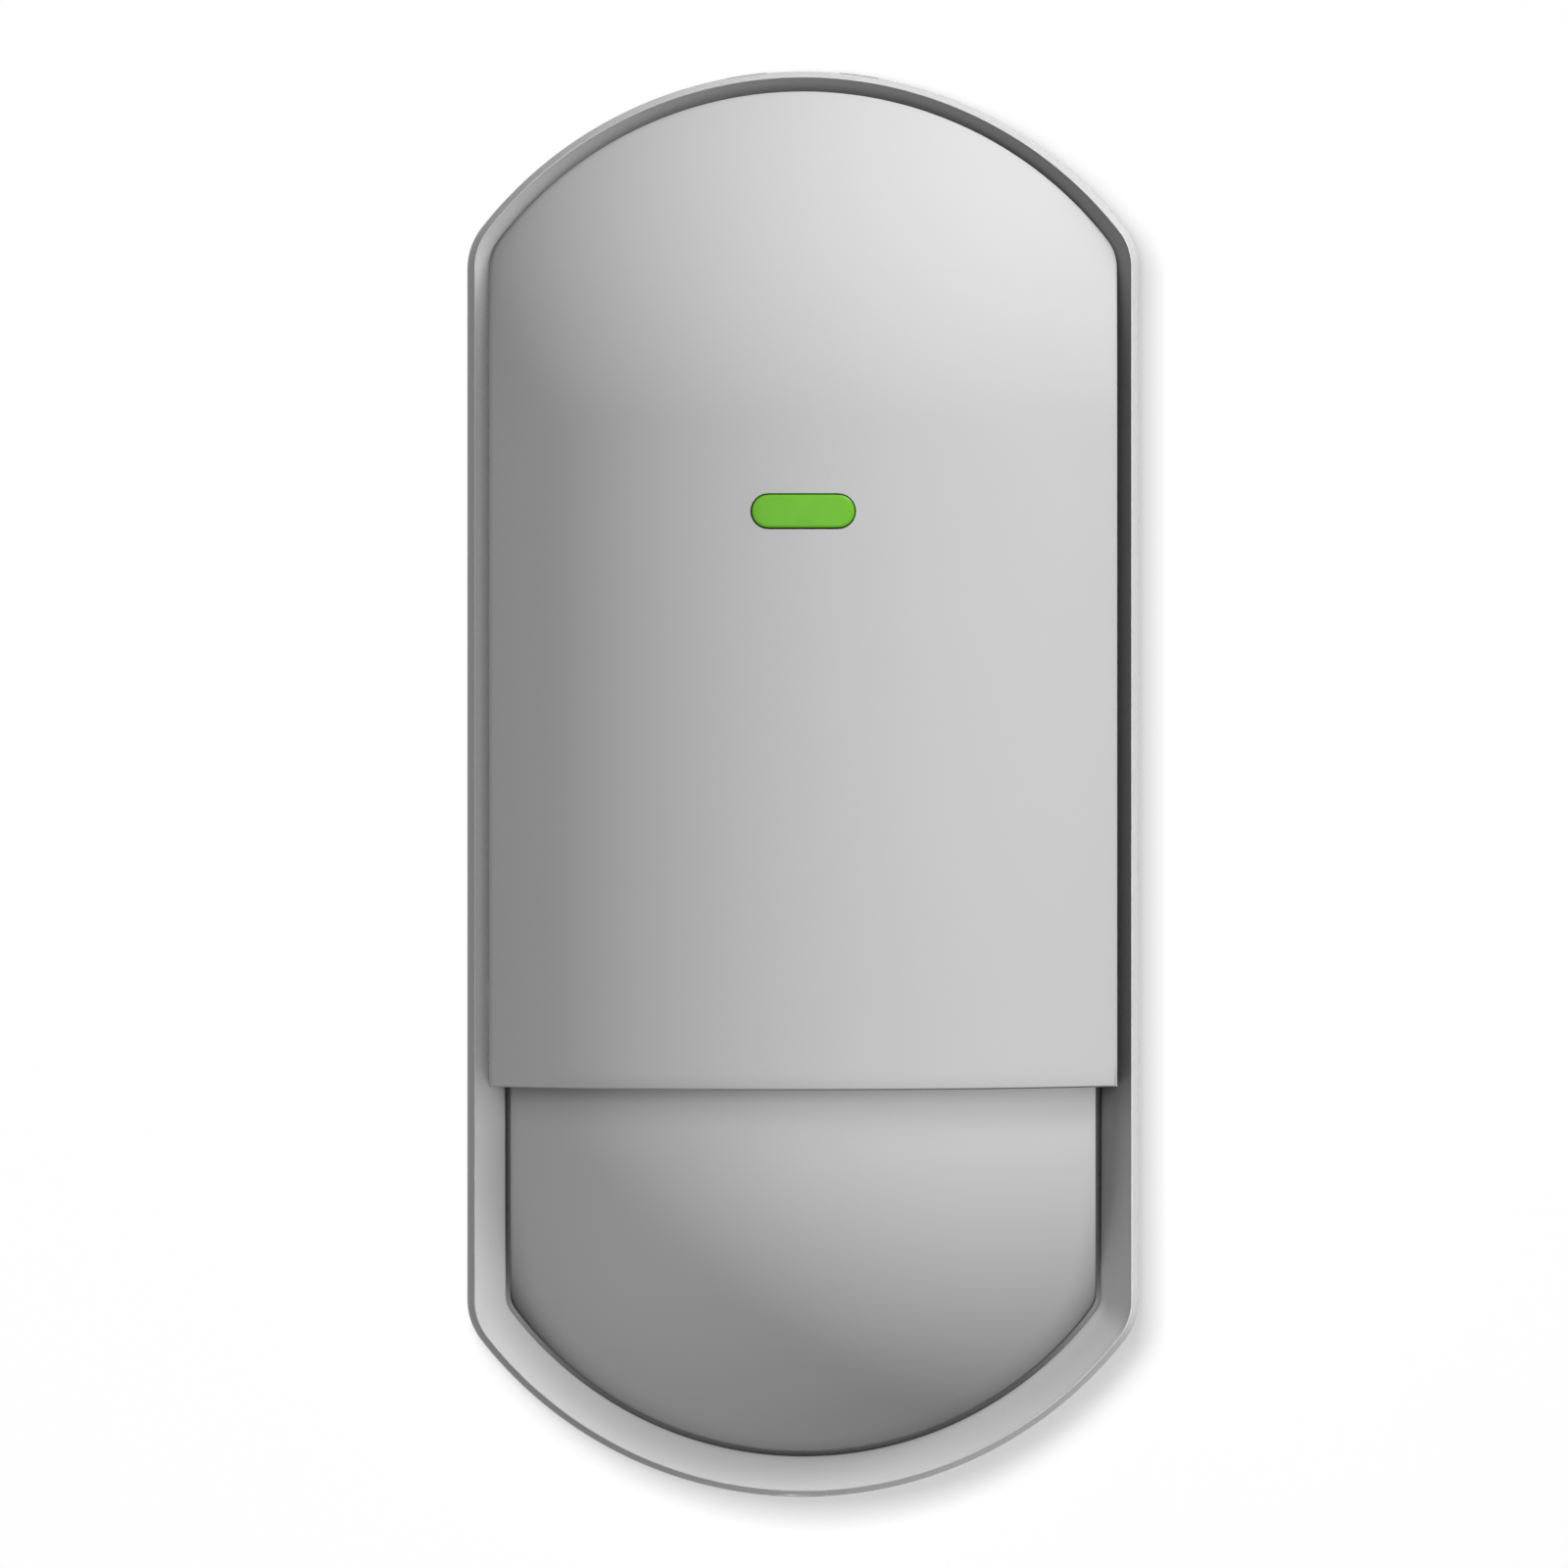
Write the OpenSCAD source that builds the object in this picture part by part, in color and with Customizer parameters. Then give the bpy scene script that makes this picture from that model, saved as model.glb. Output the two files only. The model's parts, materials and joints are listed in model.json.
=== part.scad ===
// Wall-mounted passive infrared motion detector, battery powered.
// X is the width and Z the height. The wall is the plane y = 0 and the front faces -Y.
// A depth is a distance from the wall towards the front, so depth d lies at y = -d.

/* [Housing] */
// Width across the straight sides
body_w = 60; // [59:0.5:66]
// Height over both end arcs
body_h = 127.4; // [126:0.2:140]
// Depth from the wall to the crown of the cover
body_d = 42; // [41:0.5:48]
// Radius of the arcs that end the outline
end_r = 36.5; // [35.5:0.5:42]
// Radius between a straight side and an end arc
corner_r = 6; // [5:0.5:8]
// Wall of the back box and the front frame
wall_t = 2; // [1.8:0.1:2.2]
// Depth of the parting line, where the hinge axis lies
parting_d = 13; // [12.5:0.25:14]
// Gap between the back box and the front frame at the parting line
parting_gap = 0.2; // [0.1:0.05:0.4]
// How far the back box stays inside the outline
back_inset = 0.3; // [0.2:0.05:0.5]
// Height of the lip that closes the parting line from inside
lip_h = 3.4; // [2:0.2:4]
// Thickness of that lip
lip_t = 1.2; // [0.8:0.1:1.4]

/* [Front frame] */
// Depth of the rim's crest
crest_d = 27; // [26:0.5:29]
// How far the outer wall leans in between the parting line and the crest
draft = 0.7; // [0.4:0.1:1]
// Depth of the inner edge of the rim's slope
slope_d = 24.6; // [24:0.2:25.2]
// Distance of that edge inside the outline
opening_in = 3.5; // [3.2:0.1:3.7]
// Thickness of the rim's inner edge
flange_t = 1.4; // [1:0.1:1.8]

/* [Cover and lens] */
// Radius of the cover's cylinder and of the sphere that ends it
cover_r = 40; // [38:0.5:44]
// Distance of the cover's sides inside the outline
cover_in = 2.05; // [1.9:0.05:2.3]
// Thickness of the cover
cover_t = 1.8; // [1.4:0.1:2]
// Height at which the cover starts to curve back
cover_bend_z = 32.2; // [28:0.5:36]
// Height of the cover's lower edge
cover_edge_z = -27.2; // [-30:0.2:-25]
// Lean of that edge, in degrees, which makes it lowest at the crown
edge_lean = 1.3; // [0:0.1:3]
// Step in depth from the cover down to the lens
lens_step = 3.4; // [2.8:0.1:4]
// Gap between the lens and the rim
lens_gap = 0.4; // [0.3:0.05:0.6]
// Thickness of the lens
lens_t = 0.9; // [0.6:0.1:1.1]
// Height at which the lens starts to curve back
lens_bend_z = -31.9; // [-35:0.5:-29]
// How far the lens reaches up behind the cover
lens_tuck = 8.2; // [7:0.2:10]

/* [Status light] */
// Width of the light guide's face
light_w = 9.2; // [7:0.2:12]
// Height of the light guide's face
light_h = 3; // [2.4:0.1:4]
// Height of the light guide above the middle
light_z = 24.2; // [22:0.2:25]

/* [Hinge and lock] */
// Distance of the hinge axis below the top of the outline
hinge_drop = 1.8; // [1.7:0.05:1.9]
// Radius of the hinge trunnions
trunnion_r = 0.75; // [0.6:0.05:0.8]
// Radial clearance of the trunnions in their sockets
hinge_play = 0.05; // [0.02:0.01:0.08]
// Largest opening angle of the front
open_angle = 45; // [30:1:45]
// Radius of the lock screw's shank
screw_r = 1.25; // [1:0.05:1.4]
// Depth of the lock screw
lock_d = 16.5; // [16.3:0.1:16.8]

/* [Battery] */
// Radius of the cell
cell_r = 8.5; // [7:0.1:8.5]
// Length of the cell with its contact
cell_l = 34.5; // [30:0.5:35.5]
// Distance of the cell's axis below the top of the outline
cell_drop = 21.7; // [21:0.1:23]

/* [Circuit board] */
// Thickness of the circuit board
board_t = 1.6; // [1:0.2:2]
// Height of the posts that carry the circuit board
post_h = 6; // [5:0.2:6.4]
// Gap between the circuit board and the sides of the back box
board_gap = 1.5; // [1:0.1:2.5]
// Height of the sensor's centre above the bottom of the outline
sensor_rise = 24.7; // [22.7:0.1:26.7]
// Travel of the tamper plunger
tamper_travel = 1.5; // [1:0.1:2]

/* [Wall screws] */
// Radius of the two screw holes in the back
wall_hole_r = 2.1; // [1.8:0.1:2.3]
// Distance of the upper screw hole below the top of the outline
wall_hole_drop = 7.5; // [7.3:0.1:8]
// Distance of the lower screw hole above the bottom of the outline
wall_hole_rise = 9.9; // [9:0.1:10.4]

/* [Hidden] */
$fn = 48;
hair = 0.01;             // a cut runs this far past the face that it opens
far = 200;               // longer than the whole detector
top_z = body_h / 2;
end_z = top_z - end_r;   // height of the end arc's centre
corner_steps = 4;
arc_steps = 20;
back_d = parting_d - parting_gap / 2;   // front edge of the back box
front_d = parting_d + parting_gap / 2;  // rear edge of the front frame
hinge_z = top_z - hinge_drop;
knuckle_r = hinge_drop;
knuckle_gap = 0.25;      // between the knuckles, along the hinge and round it
knuckle_w = 3;           // half the width of the back box's knuckle
knuckle_end = 6.75;      // outer end of the front's knuckles
trunnion_end = 6;
flange_d = slope_d - flange_t;          // rear face of the rim's inner edge
slope_in = draft + 0.15;                // inset and depth at which the rim's slope starts
slope_top_d = crest_d - 0.1;
slope_steps = 4;
inner_in = back_inset + wall_t;         // inner face of the back box's wall
inner_gap = 0.3;                        // between the front's wall and what lies inside
dome_d = body_d - cover_r;              // depth of the axis that the cover curves round
lens_r = cover_r - lens_step;
lens_in = opening_in + lens_gap;
lens_top_z = cover_edge_z + lens_tuck;
skirt_t = 1.7;           // side wall of the cover
skirt_d = rim_d(cover_in) + 0.1;        // rear edge of that wall, just clear of the rim's slope
spigot_in = opening_in + 0.1;           // the cover's spigot fits in the rim's opening
spigot_t = 1.4;
spigot_d = flange_d - 2;                // rear edge of the spigot
spigot_end_z = lens_top_z + 1;
hook_z = [-8, 20];       // heights of the hooks on each side
hook_half = 3;
lens_flange_t = 1;
lens_flange_d = flange_d - lens_flange_t;
retainer_t = 1.5;
retainer_d = lens_flange_d - retainer_t;
retainer_window_in = 6.5;
retainer_bar_h = 5;
floor_d = wall_t;        // inside of the back box's floor
board_d = floor_d + post_h;             // rear face of the circuit board
face_d = board_d + board_t;             // front face of the circuit board
cell_z = top_z - cell_drop;
holder_wall = 1.5;
holder_base = 1.2;
holder_half = cell_r + 0.7;             // half the height of the battery holder
cell_d = floor_d + holder_base + 0.3 + cell_r;
holder_play = 0.15;
cell_edge = 0.8;
cell_nub_r = 3.3;
cell_nub_h = 1.5;
contact_half = 5.4;      // half width of a contact's plate
spring_l = 4.2;          // length of the battery spring when a cell is in
spring_r = [4.6, 2.4];   // radius of the spring's first and last turn
spring_turns = 4;
spring_wire_r = 0.35;
spring_seat = 0.15;      // the first turn is set into its plate by this
plate_t = 0.4;           // thickness of the contact plates
cell_x = spring_l / 2;   // the spring pushes the cell off the middle
holder_x0 = cell_x - cell_l / 2 - spring_l - plate_t;
holder_x1 = cell_x + cell_l / 2 + plate_t;
holder_seat = [1.6, 0.8];               // how far the cradle's round seat runs short of its end walls
holder_cheek = 5.5;      // length of the cradle's high cheeks at each end
holder_slack = 1.5;      // round the contacts' plates
holder_front_d = parting_d + 2.5;
board_x = body_w / 2 - inner_in - lip_t - board_gap - 3;
board_rise = 15.2;       // lower end of the board above the bottom of the outline
board_z0 = -top_z + board_rise;
board_z1 = cell_z - holder_half - 1.6;
sensor_z = sensor_rise - top_z;
board_post_x = board_x - 3.5;
board_post_z = [board_z0 + 9, board_z1 - 4];
wall_hole_top_z = top_z - wall_hole_drop;
wall_hole_low_z = wall_hole_rise - top_z;
lock_boss_in = 3.5;      // depth of the boss under the lock screw's head
lock_head_r = 2.3;
lock_head_h = 1.7;
lock_seat_z = -top_z + 1.9;             // the screw head rests at this height
fork_z0 = -top_z + 4.3;
fork_z1 = fork_z0 + 2.2;
fork_end_d = lock_d + 1.9;
fork_half = 4.5;
nut_h = 2.2;
nut_half = 2.1;
post_r = 2.6;
board_screw_r = 1.1;
board_screw_l = 4;       // length of the screws below the board's rear face
board_hole_play = 0.3;   // round the shanks of the board screws
board_head_r = 2.1;
board_head_h = 1.5;
driver_slot = [2.6, 0.5, 0.75];         // length, width and depth of each arm of a cross recess
sensor_r = 4.15;
sensor_h = 4.4;
sensor_flange = [0.4, 0.6];             // how far the can's foot stands out, and its thickness
sensor_window_half = [2.6, 2.1];
sensor_window_t = 0.5;
shroud_play = 0.6;       // between the sensor and its collar
shroud_t = [1.7, 0.7];   // wall of the collar at its foot and at its tip
shroud_foot_h = 2;
radio_x0 = -board_x + 1.5;
radio_drop = 32.2;       // lower end of the radio module below the upper end of the board
radio_z0 = board_z1 - radio_drop;
radio_size = [12, 18, 0.8];
shield_edge = [1, 1.5, 5];              // from the shield to the module's sides, lower and upper end
shield_h = 2.2;
shield_hole_r = 0.5;
antenna_wire_r = 0.4;
antenna_r = 2.2;
antenna_pitch = 1.35;
antenna_turns = 7;
antenna_solder = 0.05;   // the turns are set into the module's pad by this
chip_in = [15, 21.2];    // centre of the processor from the board's right and upper edges
chip_x = board_x - chip_in[0];
chip_z = board_z1 - chip_in[1];
chip_half = 4;
chip_h = 1.4;
chip_pitch = 0.8;
amp_x = board_x - 10;
amp_z = sensor_z + 13;
amp_half = [1.95, 4.3];
amp_h = 1.5;
amp_pitch = 1.2;
lead_t = 0.2;
lead_drop = 0.85;        // height at which a lead leaves its package
lead_reach = [0.45, 1.15];              // how far its knee and its foot reach out
crystal_x = -1.5;
crystal_z = chip_z - 9;
crystal_size = [6.2, 4.2, 3.4];
cap_x = -board_x + 10;
cap_z = sensor_z + 12;
cap_r = 3.15;
cap_h = 5.4;
cap_foot = [3.4, 0.9];   // half width and height of the capacitor's foot
led_half = [1, 0.7];
led_h = [0.5, 0.9];      // height of the base and of the lens of the status light
switch_half = 3;         // half width of the tamper and learn switches
tamper_x = board_x - 5;
tamper_z = 0;
tamper_body_h = 5;
tamper_well = tamper_body_h - tamper_travel - 2.5;   // the raised plunger stays guided over 2.3 mm
tamper_r = 1.25;
tamper_out = 7.9;        // how far the pressed plunger stands over the board
plunger_play = 0.05;
rib_half = [1.6, 0.8];   // half width and half height of the rib over the plunger
learn_x = board_x - 5;
learn_z = -14;
learn_body_h = 3.5;
learn_well = 1.6;
learn_r = 1.75;
learn_out = 5;
learn_travel = 0.3;
dip_x = -board_x + 11;
dip_z = -13;
dip_half = [5.6, 3.2];
dip_h = 3;
dip_pitch = 2.54;
dip_well = 1.4;
dip_play = 0.1;
dip_travel = 1.2;
slider_half = [0.55, 0.6];
slider_out = 0.3;        // how far a slider stands out of its switch
trimmer_x = 2.5;
trimmer_z = -14;
trimmer_half = 3.3;
trimmer_h = 3.2;
trimmer_r = 2.2;
trimmer_well = 1.2;
trimmer_out = 0.3;       // how far the rotor stands out of its body
trimmer_slot = [3.4, 0.7, 0.8];
snap_half = 2;           // the snaps behind the lens retainer
snap_out = 0.7;
snap_drop = 6;           // upper snaps below the cover's edge
snap_z = [cover_edge_z - snap_drop, snap_half + 0.5 - fillet(wall_t)[2]];
knockout_in = 7.7;       // from the inside of the side wall
knockout_x = body_w / 2 - inner_in - knockout_in;
knockout_z = [-20, 10];
knockout_r = 2.6;
knockout_groove = [0.5, 1.2];           // width and depth of the groove round a knockout

// Fillet of the outline moved inwards: its radius, its centre and the angle that it turns
function fillet(inset) =
    let (r = max(corner_r - inset, 0.4),
         x = body_w / 2 - inset - r,
         rise = sqrt(pow(end_r - inset - r, 2) - x * x))
    [r, x, end_z + rise, atan2(rise, x)];

// Upper half of the outline, from the right side over the top to the left side
function upper_half(inset) =
    let (f = fillet(inset), r = end_r - inset,
         corner = [for (i = [0 : corner_steps]) let (a = f[3] * i / corner_steps)
             [f[1] + f[0] * cos(a), f[2] + f[0] * sin(a)]],
         arc = [for (i = [1 : arc_steps - 1]) let (a = f[3] + (180 - 2 * f[3]) * i / arc_steps)
             [r * cos(a), end_z + r * sin(a)]])
    concat(corner, arc, [for (i = [corner_steps : -1 : 0]) [-corner[i][0], corner[i][1]]]);

// The whole outline in X and Z, moved inwards by inset
function outline(inset) =
    let (half = upper_half(inset)) concat(half, [for (p = half) -p]);

// Height of the outline at x on its upper arc
function outline_z(x, inset = 0) = end_z + sqrt(pow(end_r - inset, 2) - x * x);

// A flat shape in X and Z, from depth d0 to depth d1
module slab(d0, d1) translate([0, -d0, 0]) rotate([90, 0, 0]) linear_extrude(d1 - d0) children();
module prism(inset, d0, d1) slab(d0, d1) polygon(outline(inset));
module block(x0, x1, z0, z1, d0, d1) translate([x0, -d1, z0]) cube([x1 - x0, d1 - d0, z1 - z0]);
module peg(r, x, z, d0, d1) translate([x, -d0, z]) rotate([90, 0, 0]) cylinder(r = r, h = d1 - d0);
module rod_x(r, x0, x1, d, z) translate([x0, -d, z]) rotate([0, 90, 0]) cylinder(r = r, h = x1 - x0);
module rod_z(r, x, d, z0, z1) translate([x, -d, z0]) cylinder(r = r, h = z1 - z0);
module both_sides() { children(); mirror([1, 0, 0]) children(); }

// A closed band that follows the outline: section lists its [inset, depth] corners in order
module band(section) {
    rings = [for (s = section) [for (p = outline(s[0])) [p[0], -s[1], p[1]]]];
    n = len(rings[0]);
    m = len(rings);
    polyhedron(
        points = [for (ring = rings) for (p = ring) p],
        faces = [for (j = [0 : m - 1]) for (i = [0 : n - 1])
            let (k = (j + 1) % m, h = (i + 1) % n) [j * n + i, k * n + i, k * n + h, j * n + h]]);
}

// A tube of radius r along a list of points, with flat ends
module wire(path, r, sides = 8) {
    n = len(path);
    along = [for (i = [0 : n - 1]) let (v = path[min(i + 1, n - 1)] - path[max(i - 1, 0)]) v / norm(v)];
    polyhedron(
        points = [for (i = [0 : n - 1]) let (t = along[i], u0 = cross(t, [0.31, 0.9, 0.3]),
            u = u0 / norm(u0), v = cross(t, u)) for (j = [0 : sides - 1])
            path[i] + r * (u * cos(360 * j / sides) + v * sin(360 * j / sides))],
        faces = concat([[for (j = [0 : sides - 1]) j]],
            [for (i = [0 : n - 2]) for (j = [0 : sides - 1]) let (h = (j + 1) % sides)
                [i * sides + j, (i + 1) * sides + j, (i + 1) * sides + h, i * sides + h]],
            [[for (j = [0 : sides - 1]) n * sides - 1 - j]]));
}

// An upright cylinder that a sphere of the same radius ends at the top or at the bottom
module dome(r, bend_z, up) {
    translate([0, -dome_d, bend_z]) mirror([0, 0, up ? 0 : 1]) rotate_extrude($fn = 96)
        union() {
            translate([0, -far / 2]) square([r, far / 2]);
            intersection() { circle(r, $fn = 96); square(r); }
        }
}

// Back box: a tray with the hinge knuckle, the posts for the board and the fork for the lock screw
module back_box() color([0.74, 0.74, 0.74]) difference() {
    union() {
        difference() {
            prism(back_inset, 0, back_d);
            prism(inner_in, floor_d, back_d + 1);
        }
        parting_lip();
        intersection() {
            rod_x(knuckle_r, -knuckle_w, knuckle_w, parting_d, hinge_z);
            prism(back_inset, 0, back_d + far);
        }
        rod_x(trunnion_r, -trunnion_end, trunnion_end, parting_d, hinge_z);
        for (x = [-board_post_x, board_post_x], z = board_post_z) peg(post_r, x, z, 0, board_d);
        for (z = [wall_hole_low_z, wall_hole_top_z]) peg(wall_hole_r + 1.2, 0, z, 0, floor_d + 0.6);
        lock_fork();
    }
    for (z = [wall_hole_low_z, wall_hole_top_z])
        peg(wall_hole_r, 0, z, -hair, floor_d + 1);
    for (x = [-board_post_x, board_post_x], z = board_post_z)
        peg(board_screw_r, x, z, board_d - board_screw_l - 0.5, board_d + hair);
    for (x = [-knockout_x, knockout_x], z = knockout_z) knockout(x, z);
    both_sides() hinge_relief();
}

// Groove in the back's outer face round a disc that can be pushed out for another screw
module knockout(x, z) difference() {
    peg(knockout_r, x, z, -hair, knockout_groove[1]);
    peg(knockout_r - knockout_groove[0], x, z, -1, far);
}

// Room in the back box for the knuckles and the upper edge of the opening front
module hinge_relief() {
    slot_end = knuckle_end + knuckle_gap;
    difference() {
        rod_x(knuckle_r + knuckle_gap, knuckle_w, slot_end, parting_d, hinge_z);
        rod_x(trunnion_r, 0, trunnion_end, parting_d, hinge_z);
    }
    wedge = knuckle_r + 1;
    translate([slot_end - hair, -parting_d, hinge_z]) rotate([90, 0, 90])
        linear_extrude(end_r - slot_end)
            polygon([[-1, 0], [0, 0], [wedge * tan(open_angle), wedge], [-1, wedge]]);
}

// Thin wall inside the parting line, left open where the hinge's knuckles turn
module parting_lip() difference() {
    prism(wall_t + inner_gap, floor_d, back_d + lip_h);
    prism(wall_t + inner_gap + lip_t, floor_d - 1, back_d + lip_h + 1);
    block(-knuckle_end - 1.5, knuckle_end + 1.5, 0, far, back_d - 3, far);
    block(-fork_half - 2, fork_half + 2, -far, 0, back_d, far);
}

// Forked tongue that the lock screw slides into as the front closes
module lock_fork() difference() {
    union() {
        block(-fork_half, fork_half, -top_z + wall_t, fork_z1, floor_d, back_d - 0.2);
        block(-fork_half, fork_half, fork_z0, fork_z1, floor_d, fork_end_d);
    }
    rod_z(screw_r + 0.45, 0, lock_d, fork_z0 - 1, fork_z1 + 1);
    block(-screw_r - 0.45, screw_r + 0.45, fork_z0 - 1, fork_z1 + 1, lock_d, far);
}

// Depth of the rim's hollow slope at a distance inside the outline
function rim_d(inset) = let (t = (inset - slope_in) / (opening_in - slope_in))
    slope_top_d - (slope_top_d - slope_d) * (1.25 * t - 0.25 * t * t);

// Rim's section as [inset, depth] corners, from the outer rear edge over the crest and down inside
function rim_section() = concat(
    [[0, front_d], [draft - 0.1, crest_d - 0.5], [draft - 0.03, crest_d - 0.12], [draft + 0.05, crest_d]],
    [for (i = [0 : slope_steps]) let (inset = slope_in + (opening_in - slope_in) * i / slope_steps)
        [inset, rim_d(inset)]],
    [[opening_in, flange_d], [wall_t, flange_d], [wall_t, front_d]]);

// Front frame: the flared rim with its hinge knuckles, lock screw boss and lens snaps
module front_frame() color([0.78, 0.78, 0.78]) difference() {
    union() {
        band(rim_section());
        both_sides() intersection() {
            rod_x(knuckle_r, knuckle_w + knuckle_gap, knuckle_end, parting_d, hinge_z);
            prism(0, 0, far);
        }
        both_sides() intersection() {
            block(knuckle_w + knuckle_gap, knuckle_end, hinge_z - knuckle_r, top_z,
                parting_d, parting_d + 2.4);
            prism(0.15, 0, far);
        }
        intersection() {
            block(-4, 4, -top_z, -top_z + lock_boss_in, front_d, retainer_d - 0.3);
            prism(0.3, 0, far);
        }
        both_sides() for (z = snap_z)
            block(body_w / 2 - wall_t - snap_out, body_w / 2 - wall_t + 0.3, z - snap_half, z + snap_half,
                retainer_d - 0.8, retainer_d);
    }
    both_sides() rod_x(trunnion_r + hinge_play, 0, trunnion_end + 0.3, parting_d, hinge_z);
    rod_x(knuckle_r + knuckle_gap, -knuckle_w - knuckle_gap, knuckle_w + knuckle_gap, parting_d, hinge_z);
    rod_z(screw_r + 0.1, 0, lock_d, -top_z - 1, -top_z + lock_boss_in + 1);
    rod_z(lock_head_r + 0.15, 0, lock_d, -top_z - 1, lock_seat_z);
}

// Cover: a shell under the dome, with a skirt over the rim and a spigot with hooks in its opening
module front_cover() color([0.8, 0.8, 0.8]) difference() {
    union() {
        difference() {
            intersection() {
                dome(cover_r, cover_bend_z, true);
                union() {
                    prism(cover_in, skirt_d, body_d + 1);
                    prism(spigot_in, spigot_d, skirt_d + 2);
                }
            }
            intersection() {
                dome(cover_r - cover_t, cover_bend_z, true);
                union() {
                    prism(cover_in + skirt_t, skirt_d + 2, far);
                    prism(spigot_in + spigot_t, spigot_d - 1, skirt_d + 2.1);
                }
            }
            below_cover_edge();
            block(-far, far, -far, spigot_end_z, 0, skirt_d);
            block(-body_w / 2 + cover_in + skirt_t, body_w / 2 - cover_in - skirt_t,
                -far, spigot_end_z, 0, skirt_d + 2.1);
        }
        both_sides() for (z = hook_z) cover_hook(z);
        tamper_rib();
    }
    slab(0, far) light_face(0.1);
}

// Everything below the cover's lower edge, which leans so that it stands lowest at the crown
module below_cover_edge() translate([0, -body_d, cover_edge_z]) rotate([edge_lean, 0, 0])
    translate([-far, -far, -far]) cube([2 * far, 2 * far, far]);

// Hook on the spigot that catches behind the rim's inner edge
module cover_hook(z)
    block(body_w / 2 - spigot_in - 0.5, body_w / 2 - spigot_in + 0.8, z - hook_half, z + hook_half,
        flange_d - 1.2, flange_d);

// Rib that holds the tamper plunger down while the front is shut
module tamper_rib()
    block(tamper_x - rib_half[0], body_w / 2 - spigot_in - spigot_t + 0.4,
        tamper_z - rib_half[1], tamper_z + rib_half[1], face_d + tamper_out + plunger_play, skirt_d);

// Face of the light guide: a lying bar with round ends
module light_face(grow = 0) translate([0, light_z]) {
    r = light_h / 2 + grow;
    reach = light_w / 2 - light_h / 2;
    square([2 * reach, 2 * r], center = true);
    for (x = [-reach, reach]) translate([x, 0]) circle(r);
}

// Light guide: its face lies flush in the cover, and its stem ends just over the status light
module light_guide() color([0.46, 0.77, 0.26]) {
    intersection() {
        dome(cover_r, cover_bend_z, true);
        slab(cover_d_at(light_w / 2) - cover_t - 1.5, far) light_face();
    }
    intersection() {
        slab(cover_d_at(light_w / 2) - cover_t - 1.5, body_d - cover_t) light_face(0.9);
        dome(cover_r - cover_t, cover_bend_z, true);
    }
    peg(1.5, 0, light_z, face_d + 1.7, body_d - cover_t - 1);
}

// Depth of the cover's surface at x, below its bend
function cover_d_at(x) = dome_d + sqrt(cover_r * cover_r - x * x);

// Lens: a thin domed window with a flange that is clamped behind the rim
module lens() color([0.8, 0.8, 0.8]) difference() {
    union() {
        intersection() {
            dome(lens_r, lens_bend_z, false);
            prism(lens_in, lens_flange_d, body_d);
        }
        prism(wall_t + inner_gap, lens_flange_d, flange_d);
    }
    intersection() {
        dome(lens_r - lens_t, lens_bend_z, false);
        prism(lens_in + lens_t, lens_flange_d - 1, body_d);
    }
    block(-far, far, lens_top_z, far, 0, far);
}

// Retainer: a plate with a window that presses the lens flange against the rim
module lens_retainer() color([0.35, 0.35, 0.36]) difference() {
    prism(wall_t + inner_gap, retainer_d, lens_flange_d);
    difference() {
        prism(retainer_window_in, retainer_d - 1, lens_flange_d + 1);
        block(-far, far, lens_top_z - retainer_bar_h, far, 0, far);
    }
    block(-far, far, lens_top_z, far, 0, far);
}

// Lock screw, entered from below, with its head sunk in the frame
module lock_screw() color([0.72, 0.73, 0.75]) difference() {
    union() {
        rod_z(lock_head_r, 0, lock_d, lock_seat_z - lock_head_h, lock_seat_z);
        rod_z(screw_r, 0, lock_d, lock_seat_z - hair, fork_z1 + nut_h + 1);
    }
    for (turn = [0, 90]) translate([0, -lock_d, lock_seat_z - lock_head_h]) rotate([0, 0, turn])
        cube([driver_slot[0], driver_slot[1], 2 * driver_slot[2]], center = true);
}

// Square nut that the lock screw pulls down on the fork
module lock_nut() color([0.72, 0.73, 0.75]) difference() {
    block(-nut_half, nut_half, fork_z1 + 0.05, fork_z1 + nut_h, lock_d - nut_half, lock_d + nut_half);
    rod_z(screw_r, 0, lock_d, fork_z1 - 1, fork_z1 + nut_h + 1);
}

// Circuit board on its four posts, with holes for the screws
module circuit_board() color([0.1, 0.36, 0.2]) difference() {
    chamfer = 5;
    nick = 1;
    slab(board_d, face_d) polygon([
        [-board_x + chamfer, board_z0], [board_x - chamfer, board_z0], [board_x, board_z0 + chamfer],
        [board_x, board_z1 - nick], [board_x - nick, board_z1], [nick - board_x, board_z1],
        [-board_x, board_z1 - nick], [-board_x, board_z0 + chamfer]]);
    for (x = [-board_post_x, board_post_x], z = board_post_z)
        peg(board_screw_r + board_hole_play, x, z, board_d - 1, face_d + 1);
}

// Four pan-head screws that hold the board to its posts
module board_screws() color([0.72, 0.73, 0.75])
    for (x = [-board_post_x, board_post_x], z = board_post_z) difference() {
        union() {
            peg(board_screw_r, x, z, board_d - board_screw_l, face_d + hair);
            peg(board_head_r, x, z, face_d, face_d + board_head_h);
        }
        for (turn = [0, 90]) translate([x, -face_d - board_head_h, z]) rotate([0, turn, 0])
            cube([driver_slot[0], 2 * driver_slot[2], driver_slot[1]], center = true);
    }

// Square hole in the sensor's face, which its window fills
module sensor_opening(d0, d1)
    block(-sensor_window_half[0], sensor_window_half[0],
        sensor_z - sensor_window_half[1], sensor_z + sensor_window_half[1], d0, d1);

// Metal can of the infrared sensor
module sensor_can() color([0.74, 0.72, 0.66]) difference() {
    union() {
        peg(sensor_r + sensor_flange[0], 0, sensor_z, face_d, face_d + sensor_flange[1]);
        peg(sensor_r, 0, sensor_z, face_d, face_d + sensor_h);
    }
    sensor_opening(face_d + sensor_h - sensor_window_t, far);
}

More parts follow.
